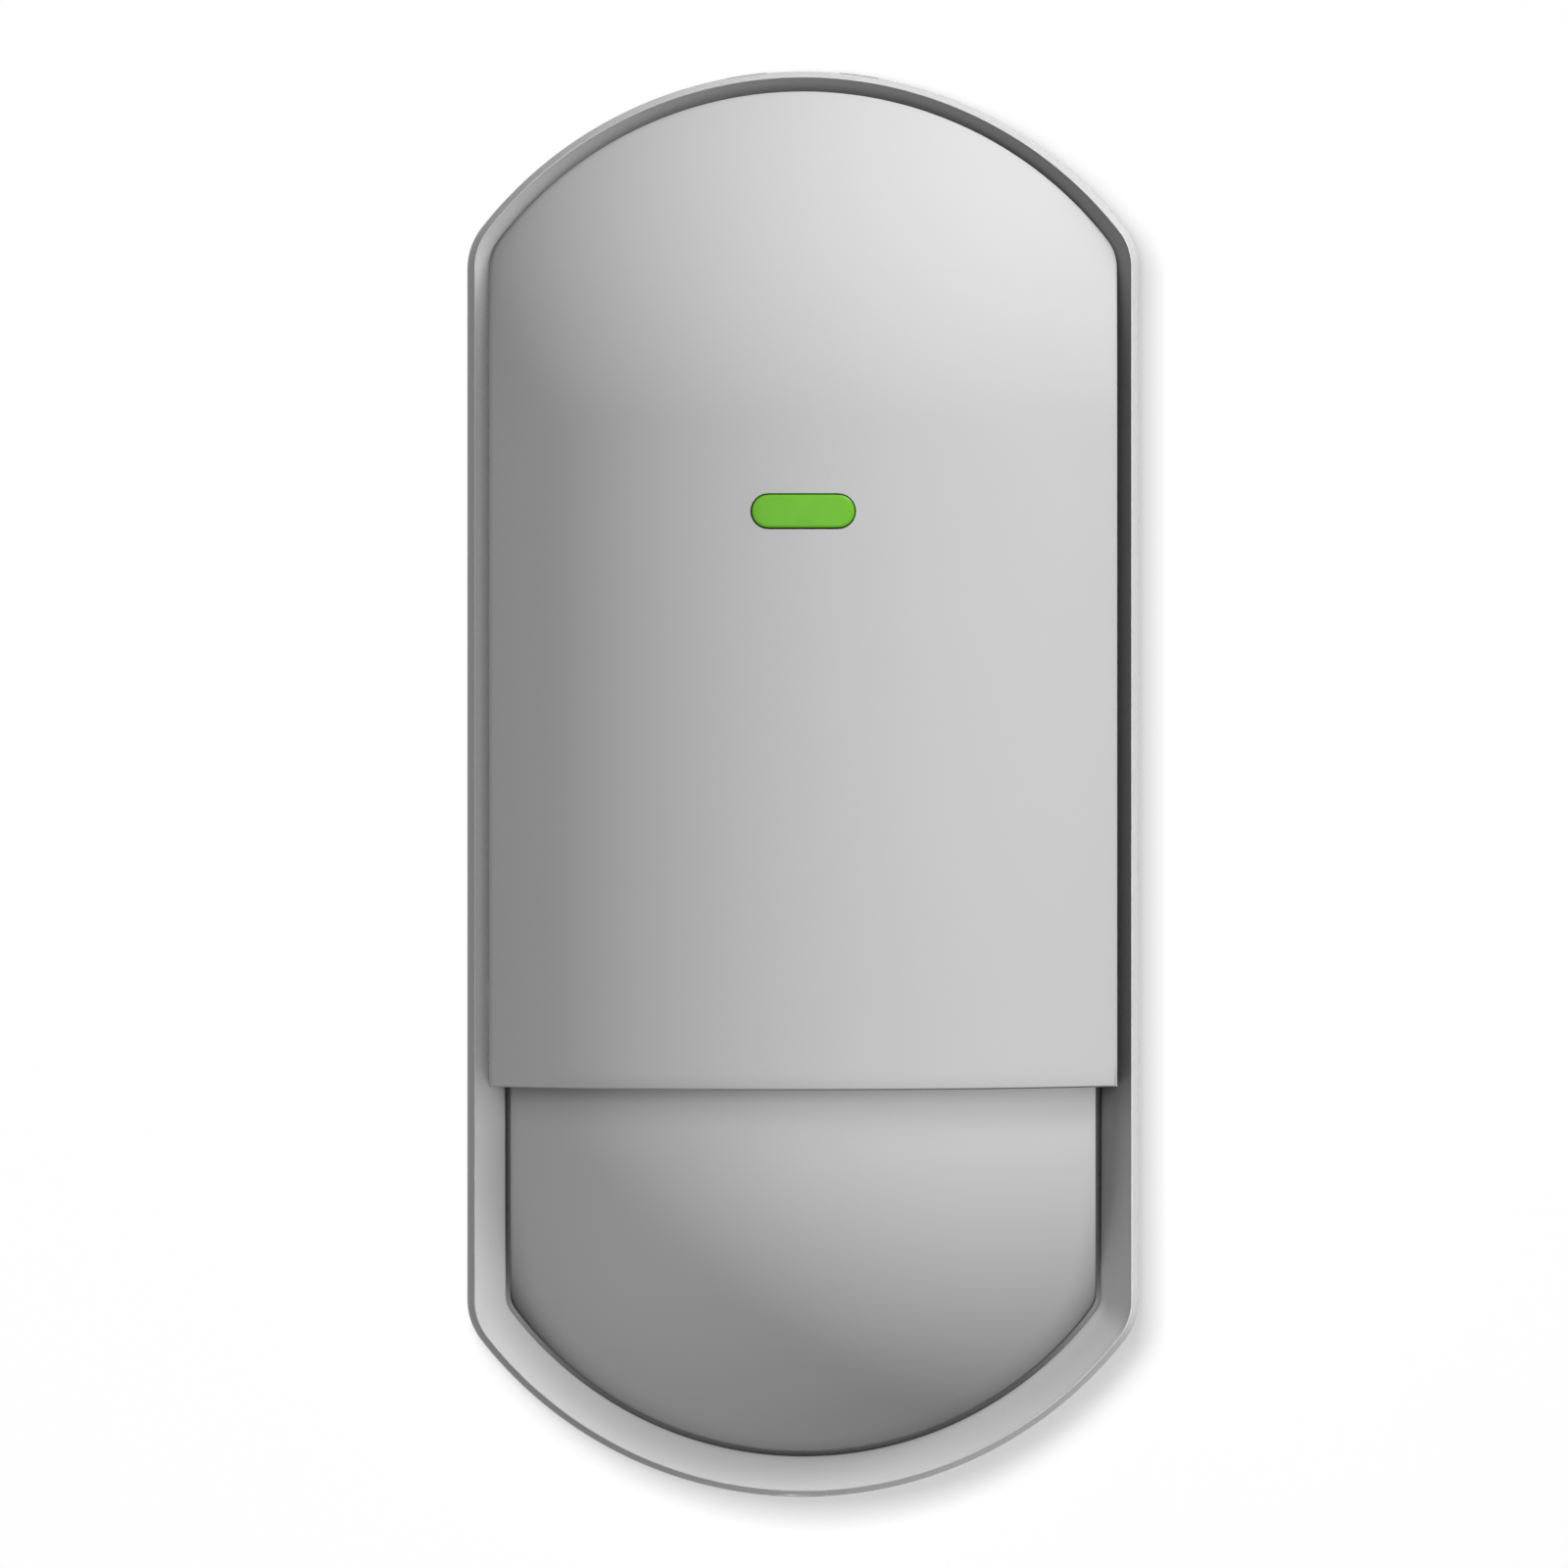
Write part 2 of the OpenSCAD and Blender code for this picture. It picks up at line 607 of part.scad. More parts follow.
// Dark infrared filter in the can's opening
module sensor_window() color([0.15, 0.13, 0.16])
    sensor_opening(face_d + sensor_h - sensor_window_t, face_d + sensor_h - sensor_window_t / 10);

// Collar round the sensor that keeps draughts and insects off it
module sensor_shroud() color([0.88, 0.88, 0.86]) difference() {
    bore_r = sensor_r + shroud_play;
    union() {
        peg(bore_r + shroud_t[0], 0, sensor_z, face_d, face_d + shroud_foot_h);
        translate([0, -face_d - shroud_foot_h, sensor_z]) rotate([90, 0, 0])
            cylinder(r1 = bore_r + shroud_t[0], r2 = bore_r + shroud_t[1], h = sensor_h);
    }
    peg(bore_r, 0, sensor_z, face_d - 1, far);
}

// Lithium cell: a can with a rolled neck and a contact at the right end
module battery_cell() color([0.2, 0.34, 0.55]) translate([cell_x - cell_l / 2, -cell_d, cell_z])
    rotate([0, 90, 0])
    rotate_extrude($fn = 64) polygon([
        [0, 0], [cell_r - cell_edge, 0], [cell_r, cell_edge], [cell_r, cell_l - cell_nub_h - cell_edge],
        [cell_r - cell_edge, cell_l - cell_nub_h], [cell_nub_r, cell_l - cell_nub_h],
        [cell_nub_r, cell_l], [0, cell_l]]);

// Battery holder: a cradle with an end wall for each contact, its corners cut to fit the box
module battery_holder() color([0.13, 0.13, 0.14]) intersection() {
    difference() {
        block(holder_x0 - holder_wall, holder_x1 + holder_wall, cell_z - holder_half,
            cell_z + holder_half, floor_d, holder_front_d);
        rod_x(cell_r + holder_play, holder_x0 + holder_seat[0], holder_x1 - holder_seat[1],
            cell_d, cell_z);
        block(holder_x0, holder_x1, cell_z - contact_half - holder_slack,
            cell_z + contact_half + holder_slack, cell_d - contact_half, holder_front_d + 1);
        block(holder_x0 + holder_cheek, holder_x1 - holder_cheek, cell_z - holder_half - 1,
            cell_z + holder_half + 1, cell_d, holder_front_d + 1);
    }
    prism(wall_t + inner_gap + lip_t + holder_play, 0, far);
}

// A contact's plate between x0 and x1
module contact(x0, x1)
    block(x0, x1, cell_z - contact_half, cell_z + contact_half,
        cell_d - contact_half + 0.2, cell_d + contact_half);

// Coil spring on its plate, which presses on the cell's left end
module battery_spring() color([0.76, 0.76, 0.78]) {
    steps = 14;
    run = spring_l - 2 * spring_wire_r + spring_seat;
    x0 = holder_x0 + plate_t + spring_wire_r - spring_seat;
    wire([for (i = [0 : spring_turns * steps])
        let (t = i / (spring_turns * steps), a = 360 * i / steps,
            r = spring_r[0] + (spring_r[1] - spring_r[0]) * t)
        [x0 + run * t, -cell_d + r * cos(a), cell_z + r * sin(a)]], spring_wire_r);
    contact(holder_x0, holder_x0 + plate_t);
}

// Flat contact at the cell's right end
module battery_plate() color([0.76, 0.76, 0.78]) contact(holder_x1 - plate_t, holder_x1);

// Radio module: a small board with its shield and a coiled antenna
module radio_board() color([0.08, 0.2, 0.32])
    block(radio_x0, radio_x0 + radio_size[0], radio_z0, radio_z0 + radio_size[1],
        face_d, face_d + radio_size[2]);

module radio_shield() color([0.78, 0.79, 0.8]) difference() {
    z0 = radio_z0 + shield_edge[1];
    z1 = radio_z0 + radio_size[1] - shield_edge[2];
    d = face_d + radio_size[2];
    block(radio_x0 + shield_edge[0], radio_x0 + radio_size[0] - shield_edge[0], z0, z1, d, d + shield_h);
    for (i = [-1 : 1]) peg(shield_hole_r, radio_x0 + radio_size[0] * (2 + i) / 4, (z0 + z1) / 2,
        d + 0.8 * shield_h, far);
}

module antenna() color([0.8, 0.62, 0.3]) {
    steps = 12;
    x = radio_x0 + radio_size[0] / 2;
    coil_d = face_d + radio_size[2] + antenna_wire_r + antenna_r - antenna_solder;
    z0 = radio_z0 + radio_size[1] - shield_edge[2] / 2;
    wire([for (i = [0 : antenna_turns * steps]) let (a = 360 * i / steps)
        [x + antenna_r * sin(a), -coil_d + antenna_r * cos(a), z0 + antenna_pitch * i / steps]],
        antenna_wire_r);
}

// Microcontroller with leads on its four sides
module processor() color([0.12, 0.12, 0.13]) translate([chip_x, -face_d, chip_z]) {
    leads = 8;
    translate([-chip_half, -chip_h, -chip_half]) cube([2 * chip_half, chip_h - lead_t / 2, 2 * chip_half]);
    for (side = [0 : 90 : 270], i = [0 : leads - 1]) rotate([0, side, 0])
        translate([chip_half - hair, 0, chip_pitch * (i - (leads - 1) / 2)]) lead(chip_pitch * 0.44);
}

// Amplifier for the sensor's signal, with leads on two sides
module amplifier() color([0.12, 0.12, 0.13]) translate([amp_x, -face_d, amp_z]) {
    leads = 7;
    translate([-amp_half[0], -amp_h, -amp_half[1]])
        cube([2 * amp_half[0], amp_h - lead_t / 2, 2 * amp_half[1]]);
    for (side = [0, 180], i = [0 : leads - 1]) rotate([0, side, 0])
        translate([amp_half[0] - hair, 0, amp_pitch * (i - (leads - 1) / 2)]) lead(amp_pitch * 0.38);
}

// One bent lead: out of the package, down to the board and along it
module lead(w) {
    knee = lead_reach[0];
    translate([0, -lead_drop, -w / 2]) cube([knee, lead_t, w]);
    translate([knee - lead_t, -lead_drop, -w / 2]) cube([lead_t, lead_drop, w]);
    translate([knee - lead_t, -lead_t, -w / 2]) cube([lead_reach[1] - knee + lead_t, lead_t, w]);
}

// Crystal in its flat oval can
module crystal() color([0.8, 0.8, 0.82]) translate([crystal_x, -face_d, crystal_z]) rotate([90, 0, 0])
    linear_extrude(crystal_size[2]) {
        square([crystal_size[0], crystal_size[1]], center = true);
        for (side = [-1, 1]) translate([side * crystal_size[0] / 2, 0]) circle(crystal_size[1] / 2);
    }

// Electrolytic capacitor on its square foot
module capacitor() color([0.7, 0.71, 0.73]) {
    block(cap_x - cap_foot[0], cap_x + cap_foot[0], cap_z - cap_foot[0], cap_z + cap_foot[0],
        face_d, face_d + cap_foot[1]);
    peg(cap_r, cap_x, cap_z, face_d, face_d + cap_h);
}

// Status light under the light guide: a base with a smaller lens on it
module status_led() color([0.9, 0.92, 0.85]) {
    block(-led_half[0], led_half[0],
        light_z - led_half[1], light_z + led_half[1], face_d, face_d + led_h[0]);
    block(-0.7 * led_half[0], 0.7 * led_half[0],
        light_z - 0.85 * led_half[1], light_z + 0.85 * led_half[1], face_d, face_d + led_h[1]);
}

// Square switch body with a round well for its button
module switch_body(x, z, h, r, well) difference() {
    block(x - switch_half, x + switch_half, z - switch_half, z + switch_half, face_d, face_d + h);
    peg(r + plunger_play, x, z, face_d + well, far);
}

// Tamper switch, whose plunger the front cover holds down
module tamper_switch() color([0.16, 0.16, 0.17])
    switch_body(tamper_x, tamper_z, tamper_body_h, tamper_r, tamper_well);
module tamper_plunger() color([0.85, 0.85, 0.83])
    peg(tamper_r, tamper_x, tamper_z, face_d + tamper_well + 0.2, face_d + tamper_out);

// Push button that teaches the detector to its receiver
module learn_switch() color([0.16, 0.16, 0.17])
    switch_body(learn_x, learn_z, learn_body_h, learn_r, learn_well);
module learn_button() color([0.86, 0.86, 0.84])
    peg(learn_r, learn_x, learn_z, face_d + learn_well + learn_travel + 0.1, face_d + learn_out);

// Four small slide switches in a row, for range, pulse count, light and test
module dip_switch() color([0.7, 0.13, 0.12]) difference() {
    block(dip_x - dip_half[0], dip_x + dip_half[0], dip_z - dip_half[1], dip_z + dip_half[1],
        face_d, face_d + dip_h);
    x = slider_half[0] + dip_play;
    z = dip_travel / 2 + slider_half[1] + dip_play;
    for (i = [0 : 3])
        block(slider_x(i) - x, slider_x(i) + x, dip_z - z, dip_z + z, face_d + dip_well, far);
}

function slider_x(i) = dip_x + dip_pitch * (i - 1.5);
module dip_slider(i) color([0.93, 0.93, 0.92])
    block(slider_x(i) - slider_half[0], slider_x(i) + slider_half[0],
        dip_z - dip_travel / 2 - slider_half[1], dip_z - dip_travel / 2 + slider_half[1],
        face_d + dip_well + 0.05, face_d + dip_h + slider_out);
module dip_slider_1() dip_slider(0);
module dip_slider_2() dip_slider(1);
module dip_slider_3() dip_slider(2);
module dip_slider_4() dip_slider(3);

// Sensitivity trimmer: a square body with a slotted rotor
module trimmer_body() color([0.2, 0.35, 0.62]) difference() {
    block(trimmer_x - trimmer_half, trimmer_x + trimmer_half,
        trimmer_z - trimmer_half, trimmer_z + trimmer_half, face_d, face_d + trimmer_h);
    peg(trimmer_r + plunger_play, trimmer_x, trimmer_z, face_d + trimmer_well, far);
}

module trimmer_rotor() color([0.9, 0.88, 0.8]) {
    top_d = face_d + trimmer_h + trimmer_out;
    difference() {
        peg(trimmer_r, trimmer_x, trimmer_z, face_d + trimmer_well + 0.1, top_d);
        for (size = [[trimmer_slot[1], trimmer_slot[0]], [2.8 * trimmer_slot[1], trimmer_slot[1]]])
            translate([trimmer_x, -top_d, trimmer_z])
                cube([size[0], 2 * trimmer_slot[2], size[1]], center = true);
    }
}

back_box();
front_frame();
front_cover();
lens();
lens_retainer();
light_guide();
lock_screw();
lock_nut();
circuit_board();
board_screws();
sensor_can();
sensor_window();
sensor_shroud();
battery_cell();
battery_holder();
battery_spring();
battery_plate();
radio_board();
radio_shield();
antenna();
processor();
amplifier();
crystal();
capacitor();
status_led();
tamper_switch();
tamper_plunger();
learn_switch();
learn_button();
dip_switch();
dip_slider_1();
dip_slider_2();
dip_slider_3();
dip_slider_4();
trimmer_body();
trimmer_rotor();
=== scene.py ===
import json
import math

import bmesh
import bpy
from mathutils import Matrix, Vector


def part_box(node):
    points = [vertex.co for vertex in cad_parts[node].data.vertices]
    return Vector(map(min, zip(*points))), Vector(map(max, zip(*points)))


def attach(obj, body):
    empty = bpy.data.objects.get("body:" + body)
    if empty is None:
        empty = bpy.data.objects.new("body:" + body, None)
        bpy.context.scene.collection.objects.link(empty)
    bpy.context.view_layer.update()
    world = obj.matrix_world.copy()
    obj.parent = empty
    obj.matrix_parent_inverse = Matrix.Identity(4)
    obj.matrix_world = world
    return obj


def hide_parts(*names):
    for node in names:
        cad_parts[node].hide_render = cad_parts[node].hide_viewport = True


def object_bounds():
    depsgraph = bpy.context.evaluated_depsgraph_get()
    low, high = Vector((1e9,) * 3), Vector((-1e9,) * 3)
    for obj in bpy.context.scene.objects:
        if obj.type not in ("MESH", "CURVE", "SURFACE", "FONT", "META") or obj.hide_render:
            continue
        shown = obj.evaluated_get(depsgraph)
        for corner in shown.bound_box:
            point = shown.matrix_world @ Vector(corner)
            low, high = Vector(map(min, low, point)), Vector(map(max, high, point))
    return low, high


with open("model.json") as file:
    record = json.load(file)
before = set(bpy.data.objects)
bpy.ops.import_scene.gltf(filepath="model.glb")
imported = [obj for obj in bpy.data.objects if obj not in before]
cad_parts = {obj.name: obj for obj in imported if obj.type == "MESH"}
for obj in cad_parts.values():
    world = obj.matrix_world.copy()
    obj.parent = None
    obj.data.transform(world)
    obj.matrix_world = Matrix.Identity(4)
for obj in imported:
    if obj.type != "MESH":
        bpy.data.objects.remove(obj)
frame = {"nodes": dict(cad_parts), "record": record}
CAD_BOX = [list(corner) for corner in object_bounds()]

# ---------------------------------------------------------------- sizes, in millimetres
# X is the width, Z the height, and a depth d lies at y = -d, as in the CAD. An inset is a
# distance inside the outline, and a section is a list of (inset, depth) corners.
MM = 0.001
HALF_W = CAD_BOX[1][0] / MM
TOP = -CAD_BOX[0][2] / MM           # the hinge gap takes the very top, so the lower end tells
END_R, CORNER_R = 36.5, 6.0         # the arcs at both ends, and the corners below them
END_Z = TOP - END_R

FRONT_D, BACK_D = 13.1, 12.9        # the parting line, from the front and from the back box
WALL_IN = 2.0                       # inner face of the front frame's wall
CREST_D = 27.0
SLOPE_IN, SLOPE_D = 0.85, 26.9      # where the rim's slope starts
OPENING_IN, OPENING_D = 3.5, 24.6   # where it ends
FLANGE_D = 23.2                     # rear face of its inner edge
LOW_SINK = 0.3                      # how much further in the opening lies at the lower arc

DOME_D = 2.0                        # depth of the axis that cover and lens curve round
COVER_R, COVER_BEND, COVER_EDGE = 40.0, 32.2, -27.2
COVER_IN, COVER_T, SKIRT_T = 2.05, 1.8, 1.7
COVER_LEAN = math.tan(math.radians(1.3))        # of the cover's lower edge
LENS_R, LENS_BEND, LENS_TOP = 36.6, 31.9, -19.0
LENS_IN, LENS_T = 3.95, 0.9
LIGHT_Z, LIGHT_HALF, LIGHT_ROUND = 24.2, 3.1, 1.5

HINGE_D, HINGE_Z, KNUCKLE_R = 13.0, 61.9, 1.8
PIN_R, SOCKET_R, HINGE_ROOM = 0.75, 0.8, 0.25   # the room lies round a knuckle and beside it
BACK_KNUCKLE = 3.0                              # half the length of the back's knuckle
KNUCKLE_L = 3.5                                 # length of each knuckle of the front
LOCK_D, LOCK_HOLE_R, LOCK_HEAD_R, LOCK_SLOT_R = 16.5, 1.35, 2.45, 1.7
LOCK_SEAT_Z = -61.8                             # where the lock screw's head sits
SNAPS_X, SNAPS_Z = (27.3, 28.3), (-33.2, -43.75)        # inside the frame, for the lens retainer
HOOKS_X, HOOKS_Z = (25.9, 27.2), (-8, 20)               # on the cover, behind the frame's flange
PLUNGER_RIB = (15.4, 25.4, -0.8, 0.8)                   # x from and to, z from and to

BACK_IN, FLOOR_D = 0.3, 2.0                     # back box: inset, and inner face of its floor
BACK_WALL_IN = 2.3                              # inner face of its wall
LIP_IN, LIP_TO, LIP_D = 2.25, 3.5, 16.3         # the lip's faces, and its front edge
FORK_HALF, FORK_Z, FORK_FOOT_Z = 4.5, (-59.4, -57.2), (-61.7, -57.2)
WALL_HOLES_Z, WALL_HOLE_R = (-53.8, 56.2), 2.1
KNOCKOUTS = [(x, z) for x in (-20, 20) for z in (-20, 10)]
POSTS = [(x, z) for x in (-18.5, 18.5) for z in (-39.5, 27.2)]
FACE_D = 9.6                                    # front face of the circuit board
CELL_R = 8.5


def box(node):
    """Lowest and highest corner of a CAD node, in millimetres."""
    return [Vector(corner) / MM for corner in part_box(node)]


# ---------------------------------------------------------------- outlines
def upper_half(inset, corner=14, arc=84, sink=0.0):
    """Upper half of the outline, from the right side over the top to the left; sink moves its
    arc in by that much more."""
    r = max(CORNER_R - inset, 0.4)
    cx = HALF_W - inset - r
    end_r = END_R - inset - sink
    rise = math.sqrt((end_r - r) ** 2 - cx * cx)
    turn = math.atan2(rise, cx)
    right = [(cx + r * math.cos(turn * i / corner), END_Z + rise + r * math.sin(turn * i / corner))
             for i in range(corner + 1)]
    over = []
    for i in range(1, arc):
        a = turn + (math.pi - 2 * turn) * i / arc
        over.append((end_r * math.cos(a), END_Z + end_r * math.sin(a)))
    return right + over + [(-x, z) for x, z in reversed(right)]


def between(p, q, count):
    """Points from p up to but not including q."""
    return [(p[0] + (q[0] - p[0]) * i / count, p[1] + (q[1] - p[1]) * i / count)
            for i in range(count)]


def low_sink(inset):
    """How far the lower arc moves in: all of LOW_SINK at the opening, nothing on the outer slope."""
    return LOW_SINK * min(max((inset - 2.9) / 0.6, 0.0), 1.0)


def outline(inset, sunk=False):
    """The closed outline; sunk moves its lower arc in as the rim's opening does."""
    half = upper_half(inset)
    low = [(-x, -z) for x, z in upper_half(inset, sink=low_sink(inset) if sunk else 0.0)]
    return half + between(half[-1], low[0], 24)[1:] + low + between(low[-1], half[0], 24)[1:]


def shell_loop(inset, edge, flip=False):
    """The outline's end above a straight edge; flip turns it into the lower end."""
    half = upper_half(inset, sink=low_sink(inset) if flip else 0.0)
    x = half[0][0]
    loop = between((x, edge), half[0], 30) + half + between(half[-1], (-x, edge), 30)[1:]
    loop += between((-x, edge), (x, edge), 56)
    return [(x, -z) for x, z in loop] if flip else loop


def stadium(half, r, z, toward):
    """Points on a lying bar with round ends, one in the direction of each point of another loop."""
    points = []
    for x, y in toward:
        a = math.atan2(y - z, x)
        c, s = math.cos(a), math.sin(a)
        t = r / abs(s) if abs(s) > 1e-9 else 1e9
        if abs(t * c) > half:
            k = half * abs(c)
            t = k + math.sqrt(k * k - half * half + r * r)
        points.append((t * c, z + t * s))
    return points


def circle(r, x=0.0, z=0.0, count=48):
    return [(x + r * math.cos(2 * math.pi * i / count), z + r * math.sin(2 * math.pi * i / count))
            for i in range(count)]


def box_loop(x0, x1, z0, z1, r=0.0, steps=4):
    """A rectangle, its corners rounded by r."""
    if not r:
        return [(x1, z0), (x1, z1), (x0, z1), (x0, z0)]
    loop = []
    for cx, cz, start in ((x1 - r, z1 - r, 0), (x0 + r, z1 - r, 90),
                          (x0 + r, z0 + r, 180), (x1 - r, z0 + r, 270)):
        for i in range(steps + 1):
            a = math.radians(start + 90 * i / steps)
            loop.append((cx + r * math.cos(a), cz + r * math.sin(a)))
    return loop


def dome(x, z, r, bend):
    """Depth of an upright cylinder that a sphere ends above bend, or below -bend for the lens."""
    return DOME_D + math.sqrt(max(r * r - x * x - max(0.0, abs(z) - bend) ** 2, 0.01))


def rim(inset):
    """Depth of the rim's slope, a little hollow."""
    t = (inset - SLOPE_IN) / (OPENING_IN - SLOPE_IN)
    return SLOPE_D - (SLOPE_D - OPENING_D) * (1.25 * t - 0.25 * t * t)


# ---------------------------------------------------------------- meshes
def shade(obj, angle=40):
    """Smooth faces, with edges sharper than angle kept."""
    for p in obj.data.polygons:
        p.use_smooth = True
    obj.data.set_sharp_from_angle(angle=math.radians(angle))


def place(name, mesh):
    """An object of the mesh, in the scene."""
    obj = bpy.data.objects.new(name, mesh)
    bpy.context.scene.collection.objects.link(obj)
    return obj


def piece(name, verts, faces, smooth=40):
    """A mesh object from points in millimetres, with doubles merged and normals outwards."""
    mesh = bpy.data.meshes.new(name)
    mesh.from_pydata([[c * MM for c in v] for v in verts], [], faces)
    bm = bmesh.new()
    bm.from_mesh(mesh)
    bmesh.ops.remove_doubles(bm, verts=bm.verts, dist=2e-6)
    bmesh.ops.dissolve_degenerate(bm, edges=bm.edges, dist=1e-6)
    bmesh.ops.recalc_face_normals(bm, faces=bm.faces)
    bm.to_mesh(mesh)
    bm.free()
    obj = place(name, mesh)
    shade(obj, smooth)
    return obj


def skin(rings, caps=True, wrap=False, start=0):
    """Points and faces of a skin over rings of (x, depth, z) points; caps close both ends, wrap
    joins last to first, and start is the number of the first point."""
    n, m = len(rings[0]), len(rings)
    verts = [(x, -d, z) for ring in rings for x, d, z in ring]
    faces = []
    for j in range(m if wrap else m - 1):
        low, high = start + j * n, start + (j + 1) % m * n
        faces += [(low + i, low + (i + 1) % n, high + (i + 1) % n, high + i) for i in range(n)]
    if caps and not wrap:
        faces += [tuple(start + i for i in range(n)),
                  tuple(start + (m - 1) * n + i for i in reversed(range(n)))]
    return verts, faces


def loft(name, rings, caps=True, wrap=False, smooth=40):
    return piece(name, *skin(rings, caps, wrap), smooth)


def band(name, section, smooth=40, sunk=False):
    """A closed band that follows the outline, from its section."""
    return loft(name, [[(x, d, z) for x, z in outline(i, sunk)] for i, d in section], wrap=True,
                smooth=smooth)


def flat(loop, d0, d1):
    """Rings of a plate from a loop of (x, z)."""
    return [[(x, d, z) for x, z in loop] for d in (d0, d1)]


def plate(loop, d0, d1, soft=0.0, steps=3):
    """Rings of a plate whose front and rear edges are rounded by soft."""
    if not soft:
        return flat(loop, d0, d1)
    cx = sum(x for x, z in loop) / len(loop)
    cz = sum(z for x, z in loop) / len(loop)
    n = len(loop)
    normals = []
    for i in range(n):
        (ax, az), (bx, bz), (ex, ez) = loop[i - 1], loop[i], loop[(i + 1) % n]
        tx, tz = ex - ax, ez - az
        size = math.hypot(tx, tz) or 1
        nx, nz = tz / size, -tx / size
        if nx * (bx - cx) + nz * (bz - cz) < 0:
            nx, nz = -nx, -nz
        normals.append((nx, nz))
    rings = []
    for end, sign in ((d0, 1), (d1, -1)):
        part = []
        for k in range(steps + 1):
            a = math.pi / 2 * k / steps
            inner, rise = soft * (1 - math.sin(a)), soft * (1 - math.cos(a))
            part.append([(x - nx * inner, end + sign * rise, z - nz * inner)
                         for (x, z), (nx, nz) in zip(loop, normals)])
        rings += part if sign > 0 else part[::-1]
    return rings


def brick(x0, x1, z0, z1, d0, d1, soft=0.05):
    return plate(box_loop(x0, x1, z0, z1), d0, d1, soft, 2)


def prism(name, loop, d0, d1, soft=0.0):
    return loft(name, plate(loop, d0, d1, soft))


def turned(name, profile, origin, axis="Y", count=64, smooth=35):
    """A turned solid from (radius, height) corners about an axis through origin (x, depth, z).
    Heights run along +depth for axis Y, and along +x or +z for axes X and Z."""
    x, d, z = origin
    rings = []
    for r, h in profile:
        ring = []
        for u, v in circle(r, count=count):
            ring.append({"X": (x + h, d + u, z + v), "Y": (x + u, d + h, z + v),
                         "Z": (x + u, d + v, z + h)}[axis])
        rings.append(ring)
    return loft(name, rings, smooth=smooth)


def rod(name, r, p, q, count=32):
    """A plain cylinder between two (x, depth, z) points along one axis, used as a cutter."""
    run = [abs(b - a) for a, b in zip(p, q)]
    return turned(name, [(r, 0), (r, max(run))], p, "XYZ"[run.index(max(run))], count)


def outline_block(inset):
    """A block inside the outline, which trims what would stand out of it."""
    return loft("limit", [[(x, d, z) for x, z in outline(inset)] for d in (0, 30)])


def shape(obj, *tools, operation="DIFFERENCE"):
    """Applies exact booleans with the tools, which are then removed."""
    for tool in tools:
        step = obj.modifiers.new("shape", "BOOLEAN")
        step.operation, step.solver, step.object = operation, "EXACT", tool
    bpy.context.view_layer.update()
    done = bpy.data.meshes.new_from_object(obj.evaluated_get(bpy.context.evaluated_depsgraph_get()))
    obj.modifiers.clear()
    obj.data = done
    for tool in tools:
        bpy.data.objects.remove(tool)
    shade(obj)
    return obj


def join(name, *objs):
    """One object from several that have no material yet."""
    bm = bmesh.new()
    for obj in objs:
        bm.from_mesh(obj.data)
        bpy.data.objects.remove(obj)
    mesh = bpy.data.meshes.new(name)
    bm.to_mesh(mesh)
    bm.free()
    return place(name, mesh)


# ---------------------------------------------------------------- materials
PAINTED_SHADE_REACH = 4.0                  # painted shade: grooves and corners within this reach get a darker colour
PAINTED_GAP_FROM, PAINTED_GAP_TO = 0.1, 0.35        # occlusion between which the painted shade of a narrow gap fades out of the dark
PAINTED_GAP_SHADE = 0.03                    # share of its colour that the narrowest gap keeps under the painted shade


def linear(c):
    return c / 12.92 if c <= 0.04045 else ((c + 0.055) / 1.055) ** 2.4


def node(tree, kind, **inputs):
    """A shader node; a link or a value goes to each input, whose spaces are written as _."""
    made = tree.nodes.new("ShaderNode" + kind)
    feed(tree, made, **inputs)
    return made


def feed(tree, to, **inputs):
    for name, given in inputs.items():
        socket = to.inputs[int(name[1:]) if name[1:].isdigit() else name.replace("_", " ")]
        if isinstance(given, bpy.types.NodeSocket):
            tree.links.new(given, socket)
        else:
            socket.default_value = given


def painted_shade_factor(tree, least):
    """Painted shade from ambient occlusion: a colour factor of 1 in the open, falling to least in hollows
    and to near black in narrow gaps.
    """
    open_sky = node(tree, "AmbientOcclusion", Distance=PAINTED_SHADE_REACH * MM)
    open_sky.samples = 16
    hollow = node(tree, "MapRange", Value=open_sky.outputs["AO"], To_Min=least)
    painted_gap_dark = node(tree, "MapRange", Value=open_sky.outputs["AO"], From_Min=PAINTED_GAP_FROM, From_Max=PAINTED_GAP_TO,
                To_Min=PAINTED_GAP_SHADE)
    # the darker of the two painted shades is kept
    lower = node(tree, "Math", _0=hollow.outputs["Result"], _1=painted_gap_dark.outputs["Result"])
    lower.operation = "MINIMUM"
    return lower.outputs["Value"]


